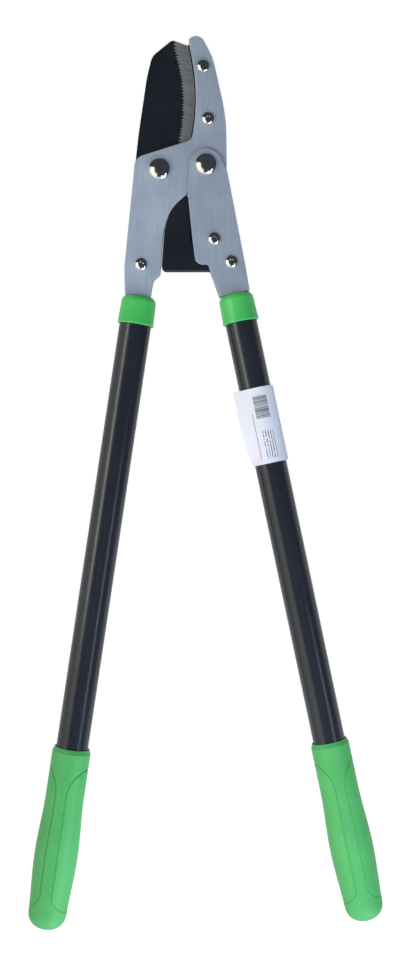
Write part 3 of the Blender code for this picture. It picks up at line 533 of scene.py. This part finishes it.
# %% Select, place, carve and hand over
SMOOTH = math.radians(32)       # a corner up to this angle is shaded round
JOINED = 0.005 * MM             # points as near as this become one


def only(piece):
    """Selects one piece and nothing else."""
    bpy.ops.object.select_all(action="DESELECT")
    piece.select_set(True)
    bpy.context.view_layer.objects.active = piece


def place_at(piece, matrix):
    """Moves a piece and writes its place into its mesh."""
    only(piece)
    piece.matrix_world = matrix
    bpy.ops.object.transform_apply(location=True, rotation=True, scale=True)


def place_on_axis(piece, node):
    """Moves a piece sideways, from the origin to the axis of its node."""
    centre = middle_of(node)
    place_at(piece, Matrix.Translation((centre.x, centre.y, 0.0)))


def apply_all(piece):
    """Applies every modifier of a piece, from the first to the last."""
    only(piece)
    for name in [modifier.name for modifier in piece.modifiers]:
        bpy.ops.object.modifier_apply(modifier=name)


def carve(piece, tool, operation="DIFFERENCE"):
    """Cuts one piece with another, which is used up."""
    modifier = piece.modifiers.new("carve", "BOOLEAN")
    modifier.operation = operation
    modifier.solver = "EXACT"
    modifier.object = tool
    apply_all(piece)
    bpy.data.objects.remove(tool)


def copied(piece, name, shift, turn=0.0):
    """A copy with its own mesh, turned about Z and moved by a shift."""
    copy = piece.copy()
    copy.data = piece.data.copy()
    copy.name = name
    bpy.context.scene.collection.objects.link(copy)
    place_at(copy, Matrix.Translation(shift) @ Matrix.Rotation(turn, 4, "Z"))
    return copy


def hand_over(piece, body, finish, slot, *stands_for, flat_faces=False):
    """Shades a finished piece, gives it its finish and fixes it to the body that it moves with."""
    piece.data.name = piece.name
    piece.data.materials.clear()
    piece.data.materials.append(finish)
    only(piece)
    bpy.ops.object.shade_smooth_by_angle(angle=SMOOTH)
    if flat_faces:
        weighted = piece.modifiers.new("flat_faces", "WEIGHTED_NORMAL")
        weighted.weight = 100
        weighted.keep_sharp = True
        apply_all(piece)
    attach(piece, body)
    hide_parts(*stands_for)
    print(f"{piece.name}: {len(piece.data.polygons)} faces, rides on {body}")


# %% Turned pieces
SIDES = 64
MANY_SIDES = 96                 # of tubes, collars and grips
CAP_SLOPE = math.radians(38)


def turned(name, profile, sides=SIDES):
    """Draws a profile of (radius, height) point by point, and spins it round Z."""
    bpy.ops.object.select_all(action="DESELECT")
    bpy.ops.mesh.primitive_circle_add(vertices=3, radius=MM, location=(0.0, 0.0, 0.0))
    piece = bpy.context.object
    piece.name = name
    bpy.ops.object.mode_set(mode="EDIT")
    bpy.ops.mesh.select_all(action="SELECT")
    bpy.ops.mesh.merge(type="CENTER")
    bpy.ops.transform.translate(value=(profile[0][0], 0.0, profile[0][1]))
    for here, after in zip(profile, profile[1:]):
        step = (after[0] - here[0], 0.0, after[1] - here[1])
        bpy.ops.mesh.extrude_region_move(TRANSFORM_OT_translate={"value": step})
    bpy.ops.mesh.select_all(action="SELECT")
    bpy.ops.mesh.spin(steps=sides, angle=2 * math.pi, center=(0.0, 0.0, 0.0), axis=(0.0, 0.0, 1.0))
    bpy.ops.mesh.select_all(action="SELECT")
    bpy.ops.mesh.remove_doubles(threshold=JOINED)
    bpy.ops.mesh.normals_make_consistent(inside=False)
    bpy.ops.object.mode_set(mode="OBJECT")
    return piece


def shoulder(width, height, start, steps, power):
    """A rounded corner from a start point in and up: an ellipse at power 1, flatter at a higher one."""
    points = []
    for step in range(1, steps + 1):
        angle = math.pi / 2 * step / steps
        inwards, upwards = 1 - math.cos(angle) ** power, math.sin(angle) ** power
        points.append((start[0] - width * inwards, start[1] + height * upwards))
    return points


def cap(radius, top, steps):
    """The outline of a part of a ball from its edge, where it slopes by CAP_SLOPE, up to the axis."""
    ball = radius / math.sin(CAP_SLOPE)
    slopes = [CAP_SLOPE * (1 - step / steps) for step in range(steps + 1)]
    return [(ball * math.sin(slope), top - ball * (1 - math.cos(slope))) for slope in slopes]


bpy.context.tool_settings.mesh_select_mode = (True, False, False)
print("sides of a turned piece:", SIDES)

# %% [markdown]
# ## Plates
# The frame already has the plates' true outlines, as loose triangles that look faceted. Drawing the
# outlines again would only repeat that work, so each plate starts as a copy of its node: the triangles are
# merged, and the flat faces are dissolved into one. Stamping leaves a soft rolled edge, which here is the
# broken edge shaded round, with the flat faces kept flat by weighted normals.

# %% Copies of the plates with rolled edges
ROLLED_EDGE = 0.26 * MM         # nearly half the width of the broken edge
SHARP_CORNER = math.radians(38)
FLAT_WITHIN = math.radians(0.5)


def merged_copy(node, name):
    """A copy of a node with its triangles joined and its flat sides in one face."""
    piece = bpy.data.objects.new(name, nodes[node].data.copy())
    bpy.context.scene.collection.objects.link(piece)
    only(piece)
    bpy.ops.mesh.customdata_custom_splitnormals_clear()
    bpy.ops.object.mode_set(mode="EDIT")
    bpy.ops.mesh.select_all(action="SELECT")
    bpy.ops.mesh.remove_doubles(threshold=JOINED)
    bpy.ops.mesh.dissolve_limited(angle_limit=FLAT_WITHIN)
    bpy.ops.object.mode_set(mode="OBJECT")
    return piece


def dressed_plate(node, body, finish, slot):
    piece = merged_copy(node, f"{node}_dressed")
    edges = piece.modifiers.new("rolled_edges", "BEVEL")
    edges.width = ROLLED_EDGE
    edges.segments = 3
    edges.limit_method = "ANGLE"
    edges.angle_limit = SHARP_CORNER
    edges.harden_normals = False
    apply_all(piece)
    hand_over(piece, body, finish, slot, node, flat_faces=True)


for face in ("front", "back"):
    dressed_plate(f"jaw_plate_{face}", "frame", plated, "plated_steel")
    dressed_plate(f"handle_plate_{face}", "right_handle", plated, "plated_steel")
    dressed_plate(f"drive_plate_{face}", "right_handle", coated, "black_coating")
dressed_plate("anvil", "frame", coated, "black_coating")

# %% [markdown]
# ## Blade
# The blade is a copy too. Cuts across it, a few millimetres apart, give its long faces enough points to
# carry a smooth value: how far each point lies beyond the border of the ground edge.

# %% Blade with its distance from the border
BEVEL_AT_HEEL = 7.8 * MM
BEVEL_AT_TIP = 10.2 * MM
HALF_EDGE = 0.25 * MM           # nothing but the sharp edge lies this near to the middle plane
HONED_HALF = 0.06 * MM          # half the thickness of the edge once it is honed
HONED_FORWARD = 0.2 * MM        # of the 0.3 mm left to the anvil
CUT_SPACING = 4.0 * MM


def blade_edge():
    """The sharp edge from the tip to the heel, from the points nearest to the middle plane."""
    points = {
        (round(v.co.x, 6), round(v.co.y, 6))
        for v in nodes["blade"].data.vertices if abs(v.co.z - MIDDLE) < HALF_EDGE
    }
    return [Vector((x, y, 0.0)) for x, y in sorted(points, key=lambda point: -point[1])]


def from_edge(point, edge):
    """The distance of a point from the edge, and how far up the edge its foot is, from 0 to 1."""
    best = (math.inf, 0.0)
    for index, (a, b) in enumerate(zip(edge, edge[1:])):
        _, share = intersect_point_line(point, a, b)
        share = min(max(share, 0.0), 1.0)
        distance = (point - a.lerp(b, share)).length
        best = min(best, (distance, 1 - (index + share) / (len(edge) - 1)))
    return best


edge = blade_edge()
blade = merged_copy("blade", "blade_ground")
low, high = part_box("blade")
bpy.ops.object.mode_set(mode="EDIT")
for cut in range(1, math.ceil((high.y - low.y) / CUT_SPACING)):
    bpy.ops.mesh.select_all(action="SELECT")
    bpy.ops.mesh.bisect(plane_co=(0.0, low.y + cut * CUT_SPACING, 0.0), plane_no=(0.0, 1.0, 0.0))
bpy.ops.object.mode_set(mode="OBJECT")
beyond = blade.data.attributes.new("beyond_border", "FLOAT", "POINT")
for vertex, value in zip(blade.data.vertices, beyond.data):
    distance, height = from_edge(Vector((vertex.co.x, vertex.co.y, 0.0)), edge)
    value.value = distance - BEVEL_AT_HEEL - (BEVEL_AT_TIP - BEVEL_AT_HEEL) * height ** 2
for vertex in blade.data.vertices:
    if abs(vertex.co.z - MIDDLE) < HALF_EDGE:
        vertex.co.x += HONED_FORWARD
        vertex.co.z = MIDDLE + math.copysign(HONED_HALF, vertex.co.z - MIDDLE)
hand_over(blade, "blade", ground, "black_coating", "blade", flat_faces=True)
print("edge points:", len(edge))

# %% [markdown]
# ## Pivot bolts, washers and lock nuts
# The two pivots have low domed heads, polished like mirrors. Each dome is part of a ball and stays flatter
# than 40 degrees, so it mirrors the room and not the ground. A ball could be cut to make it, but a turned
# outline gives the small upright rim under it, and the thread at the other end, in one go.

# %% The two pivot bolts
BOLT_RADIUS = 4.0 * MM
BOLT = {
    "shank": BOLT_RADIUS,
    "head": 5.0 * MM,
    "thread": (1.25 * MM, 0.45 * MM, 6),    # pitch, depth and turns
    "rim": (0.40 * MM, 0.35 * MM),          # of the head, outwards and up
    "steps": 16,                            # of the dome
}


def threaded(radius, low, pitch, depth, turns):
    """The outline of a threaded end from its bottom upwards, narrower under the first turn."""
    points = [(0.0, low), (radius - 1.5 * depth, low)]
    for turn in range(turns):
        height = low + (turn + 0.5) * pitch
        points += [(radius, height), (radius - depth, height + pitch / 2)]
    return points + [(radius, low + (turns + 0.5) * pitch)]


def domed_screw(name, node, shank, head, thread, rim, steps, sides=SIDES):
    """A bolt or screw at the origin, at the height of its node."""
    low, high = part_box(node)
    radius = (high.x - low.x) / 2
    base = high.z - head
    profile = threaded(shank, low.z, *thread)
    profile += [(shank, base), (radius - rim[0], base), (radius, base + rim[1])]
    return turned(name, profile + cap(radius, high.z, steps), sides)


for name in ("main_pivot", "blade_pivot"):
    piece = domed_screw(f"{name}_domed_bolt", f"{name}_bolt", **BOLT)
    place_on_axis(piece, f"{name}_bolt")
    hand_over(piece, "frame", chrome, "chrome", f"{name}_bolt")

# %% Washers and hexagon nuts
WASHER_EDGE = 0.2 * MM
NUT_FACE = 0.97                 # how wide the round end faces of a nut are, as a share of its width
NUT_SLOPE = math.radians(30)    # of its turned corners
LEAD = 0.5 * MM                 # of the widened ends of its bore


def washer(name):
    low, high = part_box(f"{name}_washer")
    radius, bore, edge = (high.x - low.x) / 2, BOLT_RADIUS + CLEARANCE, WASHER_EDGE
    profile = [(bore, low.z), (radius - edge, low.z), (radius, low.z + edge), (radius, high.z - edge),
               (radius - edge, high.z), (bore, high.z), (bore, low.z)]
    piece = turned(f"{name}_flat_washer", profile)
    place_on_axis(piece, f"{name}_washer")
    hand_over(piece, "frame", zinc, "plain_steel", f"{name}_washer")


def hexagon_nut(name, node, bore):
    """A nut as high as its node, at the origin: six sides, with corners turned off at both ends."""
    low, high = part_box(node)
    across = min(high.x - low.x, high.y - low.y)
    corner = across / math.sqrt(3)
    bpy.ops.mesh.primitive_cylinder_add(vertices=6, radius=corner, depth=high.z - low.z,
                                        location=(0.0, 0.0, (low.z + high.z) / 2),
                                        rotation=(0.0, 0.0, math.pi / 6))
    piece = bpy.context.object
    piece.name = name
    place_at(piece, piece.matrix_world.copy())
    face = across / 2 * NUT_FACE
    fall = (corner - face) * math.tan(NUT_SLOPE)
    barrel = turned("barrel", [(0.0, low.z), (face, low.z), (corner, low.z + fall), (corner, high.z - fall),
                               (face, high.z), (0.0, high.z)])
    carve(piece, barrel, "INTERSECT")
    carve(piece, turned("bore", [(0.0, low.z - LEAD), (bore + 2 * LEAD, low.z - LEAD), (bore, low.z + LEAD),
                                 (bore, high.z - LEAD), (bore + 2 * LEAD, high.z + LEAD),
                                 (0.0, high.z + LEAD)]))
    return piece


lock_nut = hexagon_nut("pivot_lock_nut", "main_pivot_nut", BOLT_RADIUS + CLEARANCE)
for name in ("main_pivot", "blade_pivot"):
    washer(name)
    low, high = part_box(f"{name}_nut")
    shift = ((low.x + high.x) / 2, (low.y + high.y) / 2, low.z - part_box("main_pivot_nut")[0].z)
    piece = copied(lock_nut, f"{name}_lock_nut", shift)
    hand_over(piece, "frame", zinc, "plain_steel", f"{name}_nut")
bpy.data.objects.remove(lock_nut)

# %% [markdown]
# ## Screws with a cross recess
# Five small pan head screws hold the anvil, the drive and the tongues of the handles. One of each length
# is modelled with its nut and copied, as they come from a box. The recess is two tapered wedges crosswise.

# %% One pan head screw
SCREW_RADIUS = 2.5 * MM
SCREW = {
    "shank": SCREW_RADIUS,
    "head": 3.0 * MM,
    "thread": (0.80 * MM, 0.30 * MM, 6),
    "rim": (0.25 * MM, 0.25 * MM),
    "steps": 12,
    "sides": 48,
}
RECESS = (6.0 * MM, 1.3 * MM, 2.0 * MM)     # length, width and depth
RECESS_FLOOR = (0.45, 0.60, 1.0)            # its length and width at the bottom, as shares of those above
# Each screw: its nut, the body that it rides on, and the degrees by which its recess is turned.
SCREWS = {
    "anvil_screw_upper": ("anvil_nut_upper", "frame", -9),
    "anvil_screw_lower": ("anvil_nut_lower", "frame", 27),
    "left_handle_screw": ("left_handle_nut", "frame", 14),
    "drive_screw": ("drive_nut", "right_handle", -21),
    "right_handle_screw": ("right_handle_nut", "right_handle", 38),
}


def wedge(length, width, depth, top, turn):
    """A tapered block that reaches from above the head down into its recess."""
    bpy.ops.mesh.primitive_cube_add(size=1.0, location=(0.0, 0.0, 0.0))
    tool = bpy.context.object
    bpy.ops.object.mode_set(mode="EDIT")
    bpy.ops.mesh.select_all(action="SELECT")
    bpy.ops.transform.resize(value=(length, width, 2 * depth), center_override=(0.0, 0.0, 0.0))
    bpy.ops.mesh.select_all(action="DESELECT")
    bpy.ops.object.mode_set(mode="OBJECT")
    for vertex in tool.data.vertices:
        vertex.select = vertex.co.z < 0.0
    bpy.ops.object.mode_set(mode="EDIT")
    bpy.ops.transform.resize(value=RECESS_FLOOR, center_override=(0.0, 0.0, -depth))
    bpy.ops.object.mode_set(mode="OBJECT")
    place_at(tool, Matrix.Translation((0.0, 0.0, top)) @ Matrix.Rotation(turn, 4, "Z"))
    return tool


def pan_head_screw(name, node):
    piece = domed_screw(name, node, **SCREW)
    for arm in range(2):
        carve(piece, wedge(*RECESS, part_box(node)[1].z, arm * math.pi / 2))
    return piece


# %% Screws and nuts in their places
patterns = {}
for screw, (nut, body, turn) in SCREWS.items():
    low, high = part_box(screw)
    length = round((high.z - low.z) / MM, 2)
    if length not in patterns:
        patterns[length] = (pan_head_screw("screw_pattern", screw), low.z,
                            hexagon_nut("nut_pattern", nut, SCREW_RADIUS + CLEARANCE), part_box(nut)[0].z)
    screw_pattern, screw_low, nut_pattern, nut_low = patterns[length]
    x, y = (low.x + high.x) / 2, (low.y + high.y) / 2
    piece = copied(screw_pattern, f"{screw}_pan_head", (x, y, low.z - screw_low), math.radians(turn))
    hand_over(piece, body, chrome, "chrome", screw)
    piece = copied(nut_pattern, f"{nut}_hexagon", (x, y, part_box(nut)[0].z - nut_low))
    hand_over(piece, body, zinc, "plain_steel", nut)
for screw_pattern, _, nut_pattern, _ in patterns.values():
    bpy.data.objects.remove(screw_pattern)
    bpy.data.objects.remove(nut_pattern)
print("screws:", len(SCREWS), "of", len(patterns), "lengths")

# %% [markdown]
# ## Tubes and collars
# A tube is a turned ring. The collar is a cap with a rounded shoulder, a barrel that widens a little
# downwards and a small soft lip, slotted for the steel tongue. Both could be cylinders with bevels, but
# the shoulder is flatter than a round bevel and softer than a straight one.

# %% Tubes
TUBE_RADIUS = 12.8 * MM
TUBE_WALL = 1.2 * MM
TUBE_TOP = -2.5 * MM            # heights count from the top of the collar
TUBE_END = -492.0 * MM
TUBE_EDGE = 0.25 * MM


def tube(side):
    inner, edge = TUBE_RADIUS - TUBE_WALL, TUBE_RADIUS - TUBE_EDGE
    profile = [(inner, TUBE_END), (edge, TUBE_END), (TUBE_RADIUS, TUBE_END + TUBE_EDGE),
               (TUBE_RADIUS, TUBE_TOP - TUBE_EDGE), (edge, TUBE_TOP), (inner, TUBE_TOP), (inner, TUBE_END)]
    piece = turned(f"{side}_painted_tube", profile, MANY_SIDES)
    place_at(piece, lines[side])
    hand_over(piece, HANDLE_BODY[side], satin, "black_paint", f"{side}_tube")


# %% Collars
COLLAR_RADIUS = 14.7 * MM       # at the lip
COLLAR_TAPER = 0.8 * MM         # how much narrower the barrel is under the shoulder
COLLAR_LENGTH = 23.0 * MM
COLLAR_WEB = 2.2 * MM
COLLAR_SHOULDER = (3.3 * MM, 4.4 * MM)      # inwards and down
SHOULDER_POWER = 1.4                        # between round and a straight bevel
SHOULDER_STEPS = 12
COLLAR_LIP = (0.3 * MM, 1.2 * MM)           # outwards and high
LIP_ROUNDING = 0.7 * MM
TONGUE_SLOT = (16.6 * MM, 4.2 * MM)         # wide and thick


def collar(side):
    bore = TUBE_RADIUS + CLEARANCE
    lip_top = COLLAR_LENGTH - COLLAR_LIP[1]
    low, high = COLLAR_RADIUS - COLLAR_LIP[0], COLLAR_RADIUS - COLLAR_TAPER
    soft = LIP_ROUNDING
    facet = 0.3 * soft          # how far in from both sides the middle of a rounding lies
    profile = [(0.0, -COLLAR_WEB), (bore, -COLLAR_WEB), (bore, -COLLAR_LENGTH),
               (COLLAR_RADIUS - soft, -COLLAR_LENGTH), (COLLAR_RADIUS - facet, -COLLAR_LENGTH + facet),
               (COLLAR_RADIUS, -COLLAR_LENGTH + soft), (COLLAR_RADIUS, -lip_top), (low, -lip_top + soft),
               (high, -COLLAR_SHOULDER[1])]
    profile += shoulder(*COLLAR_SHOULDER, profile[-1], SHOULDER_STEPS, SHOULDER_POWER)
    profile.append((0.0, 0.0))
    piece = turned(f"{side}_moulded_collar", profile, MANY_SIDES)
    bpy.ops.mesh.primitive_cube_add(size=1.0, scale=(*TONGUE_SLOT, 4 * COLLAR_WEB))
    carve(piece, bpy.context.object)
    place_at(piece, lines[side])
    hand_over(piece, HANDLE_BODY[side], collar_green, "green_plastic", f"{side}_collar")


for side in lines:
    tube(side)
    collar(side)

# %% [markdown]
# ## Grips
# Each grip is a closed sleeve with a swelling for the palm and a sloping lip round its mouth. Fine grooves
# outline a pad on either side, leave a narrow band along the front and the back, and swing out to the
# sides at both ends. The grooves could be painted on, but a real groove catches light on one wall and
# shade on the other, so a thin round wire laid on the surface is cut out of it.

# %% The grip's outline and the path of a groove
GRIP_TOP = -366.0 * MM
GRIP_LENGTH = 147.0 * MM
GRIP_RADIUS = 15.4 * MM
GRIP_BULGE = 2.0 * MM
GRIP_BULGE_AT = 88.0 * MM
GRIP_BULGE_REACH = 50.0 * MM
GRIP_LIP = (1.4 * MM, 3.4 * MM)             # inwards and down
LIP_EDGE = (0.25 * MM, 0.3 * MM)            # broken, inwards and up
GRIP_MOUTH = (0.1 * MM, 0.4 * MM)           # how much wider the bore gets at its mouth, and how deep
GRIP_END = 14.0 * MM            # length of the closed end
GRIP_END_POWER = 2.3            # 2 is a round end, and more is squarer
GRIP_STEPS = (44, 14)           # of the outline, along the grip and round its end
TUBE_IN_GRIP = 126.3 * MM
PAD_TURN = {"left": math.radians(-9), "right": math.radians(1)}
BAND_HALF_ANGLE = math.radians(16)
PAD_TOP = (15.0 * MM, 21.0 * MM)            # below the top of the grip, and the height of its rounding
PAD_BOTTOM = (130.0 * MM, 14.0 * MM)
PAD_STEPS = (14, 16)            # of each rounded corner, and of each straight side
GROOVE_RADIUS = 0.8 * MM
GROOVE_LIFT = 0.05 * MM         # of the wire's middle above the surface


def grip_radius(depth):
    off = min(abs(depth - GRIP_BULGE_AT) / GRIP_BULGE_REACH, 1.0)
    return GRIP_RADIUS + GRIP_BULGE * math.cos(math.pi / 2 * off) ** 2


def pad_path():
    """The closed edge of a pad as (angle from the pad's middle, depth), from its top round the front."""
    steps, straight = PAD_STEPS
    reach = math.pi / 2 - BAND_HALF_ANGLE
    top, top_height = PAD_TOP
    bottom, bottom_height = PAD_BOTTOM
    front = []
    for step in range(steps + 1):
        angle = math.pi / 2 * step / steps
        front.append((reach * math.sin(angle), top + top_height * (1 - math.cos(angle))))
    for step in range(1, straight):
        share = step / straight
        front.append((reach, top + top_height + (bottom - bottom_height - top - top_height) * share))
    for step in range(steps + 1):
        angle = math.pi / 2 * step / steps
        front.append((reach * math.cos(angle), bottom - bottom_height * (1 - math.sin(angle))))
    back = [(-angle, depth) for angle, depth in reversed(front[1:-1])]
    return front + back


def groove_wire(name, middle):
    """A closed round wire on the grip's surface, round the pad whose middle is at that angle."""
    curve = bpy.data.curves.new(name, "CURVE")
    curve.dimensions = "3D"
    curve.bevel_depth = GROOVE_RADIUS
    curve.bevel_resolution = 2
    spline = curve.splines.new("POLY")
    path = pad_path()
    spline.points.add(len(path) - 1)
    for point, (angle, depth) in zip(spline.points, path):
        radius, turn = grip_radius(depth) + GROOVE_LIFT, middle + angle
        point.co = (radius * math.cos(turn), radius * math.sin(turn), GRIP_TOP - depth, 1.0)
    spline.use_cyclic_u = True
    wire = bpy.data.objects.new(name, curve)
    bpy.context.scene.collection.objects.link(wire)
    only(wire)
    bpy.ops.object.convert(target="MESH")
    return bpy.context.object


# %% Grips with their grooves
def grip_profile():
    bore = TUBE_RADIUS + CLEARANCE
    top = GRIP_TOP
    outer = grip_radius(0.0)
    profile = [(0.0, top - TUBE_IN_GRIP), (bore, top - TUBE_IN_GRIP), (bore, top - GRIP_MOUTH[1]),
               (bore + GRIP_MOUTH[0], top), (outer - GRIP_LIP[0], top),
               (outer - LIP_EDGE[0], top - GRIP_LIP[1] + LIP_EDGE[1])]
    end_from = GRIP_LENGTH - GRIP_END
    along, round_end = GRIP_STEPS
    for step in range(along + 1):
        depth = GRIP_LIP[1] + (end_from - GRIP_LIP[1]) * step / along
        profile.append((grip_radius(depth), top - depth))
    for step in range(1, round_end):
        share = math.sin(math.pi / 2 * step / round_end)
        radius = grip_radius(end_from) * (1 - share ** GRIP_END_POWER) ** (1 / GRIP_END_POWER)
        profile.append((radius, top - end_from - GRIP_END * share))
    return profile + [(0.0, top - GRIP_LENGTH)]


def grip(side):
    piece = turned(f"{side}_moulded_grip", grip_profile(), MANY_SIDES)
    for pad in (0.0, math.pi):
        carve(piece, groove_wire("groove_wire", PAD_TURN[side] + pad))
    place_at(piece, lines[side])
    hand_over(piece, HANDLE_BODY[side], grip_green, "green_plastic", f"{side}_grip")


for side in lines:
    grip(side)

# %% [markdown]
# ## Paper label
# A paper label is stuck to the front of the right tube. It wraps round the tube from its right side, lets
# go past the front, and stands off to the left, more at its lower end. A flat grid is bent along that
# line point by point, because a bend modifier can't let go of the tube half way.

# %% The label
LABEL_TOP = -77.3 * MM
LABEL_SIZE = (42.3 * MM, 61.0 * MM)
LABEL_THICKNESS = 0.2 * MM
LABEL_FROM = math.radians(-10)
LABEL_LIFT = (math.radians(109), math.radians(148))     # at the top and at the bottom
LABEL_CURL = 4                  # the power with which the lower left corner turns in
LABEL_SLACK = 1.1 * MM          # how far the paper stands off the right side of the tube
GRID = (60, 40)                 # squares across and along


def on_label(across, down):
    """A point of the bent sheet in the upright frame of the handle: across from the right, and down."""
    radius = TUBE_RADIUS + CLEARANCE + LABEL_THICKNESS
    lift = LABEL_LIFT[0] + (LABEL_LIFT[1] - LABEL_LIFT[0]) * down ** LABEL_CURL
    length = LABEL_SIZE[0] * across
    angle = min(LABEL_FROM + length / radius, lift)
    flap = max(length - radius * (lift - LABEL_FROM), 0.0)
    radius += LABEL_SLACK * max(math.cos(angle), 0.0) ** 2
    x = radius * math.cos(angle) - flap * math.sin(angle)
    front = radius * math.sin(angle) + flap * math.cos(angle)
    return Vector((x, -front, LABEL_TOP - LABEL_SIZE[1] * down))


bpy.ops.object.select_all(action="DESELECT")
bpy.ops.mesh.primitive_grid_add(x_subdivisions=GRID[0], y_subdivisions=GRID[1], size=1.0,
                                location=(0.0, 0.0, 0.0), calc_uvs=True)
label = bpy.context.object
label.name = "paper_label_sheet"
label.data.uv_layers[0].name = "sheet"
for vertex in label.data.vertices:
    vertex.co = on_label(vertex.co.x + 0.5, 0.5 - vertex.co.y)
thickness = label.modifiers.new("paper", "SOLIDIFY")
thickness.thickness = LABEL_THICKNESS
thickness.offset = 0.0
apply_all(label)
bpy.ops.object.mode_set(mode="EDIT")
bpy.ops.mesh.select_all(action="SELECT")
bpy.ops.mesh.normals_make_consistent(inside=False)
bpy.ops.object.mode_set(mode="OBJECT")
place_at(label, lines["right"])
hand_over(label, "right_handle", paper, "paper", "paper_label")

# %% [markdown]
# ## Inner parts that stay
# Tongues, plugs, pins, spacers and the bush are already the right shape and hardly show. They stay as they
# are in the frame and only change their finish.

# %% Finishes for the nodes that stay
KEPT = {
    zinc: ("left_tongue", "right_tongue", "left_tube_pin", "right_tube_pin", "main_pivot_spacer",
           "drive_spacer", "drive_pin"),
    nylon: ("left_plug", "right_plug"),
    bronze: ("blade_bush",),
}
for finish, names in KEPT.items():
    for name in names:
        nodes[name].material_slots[0].material = finish
    print(finish.name, "on", ", ".join(names))
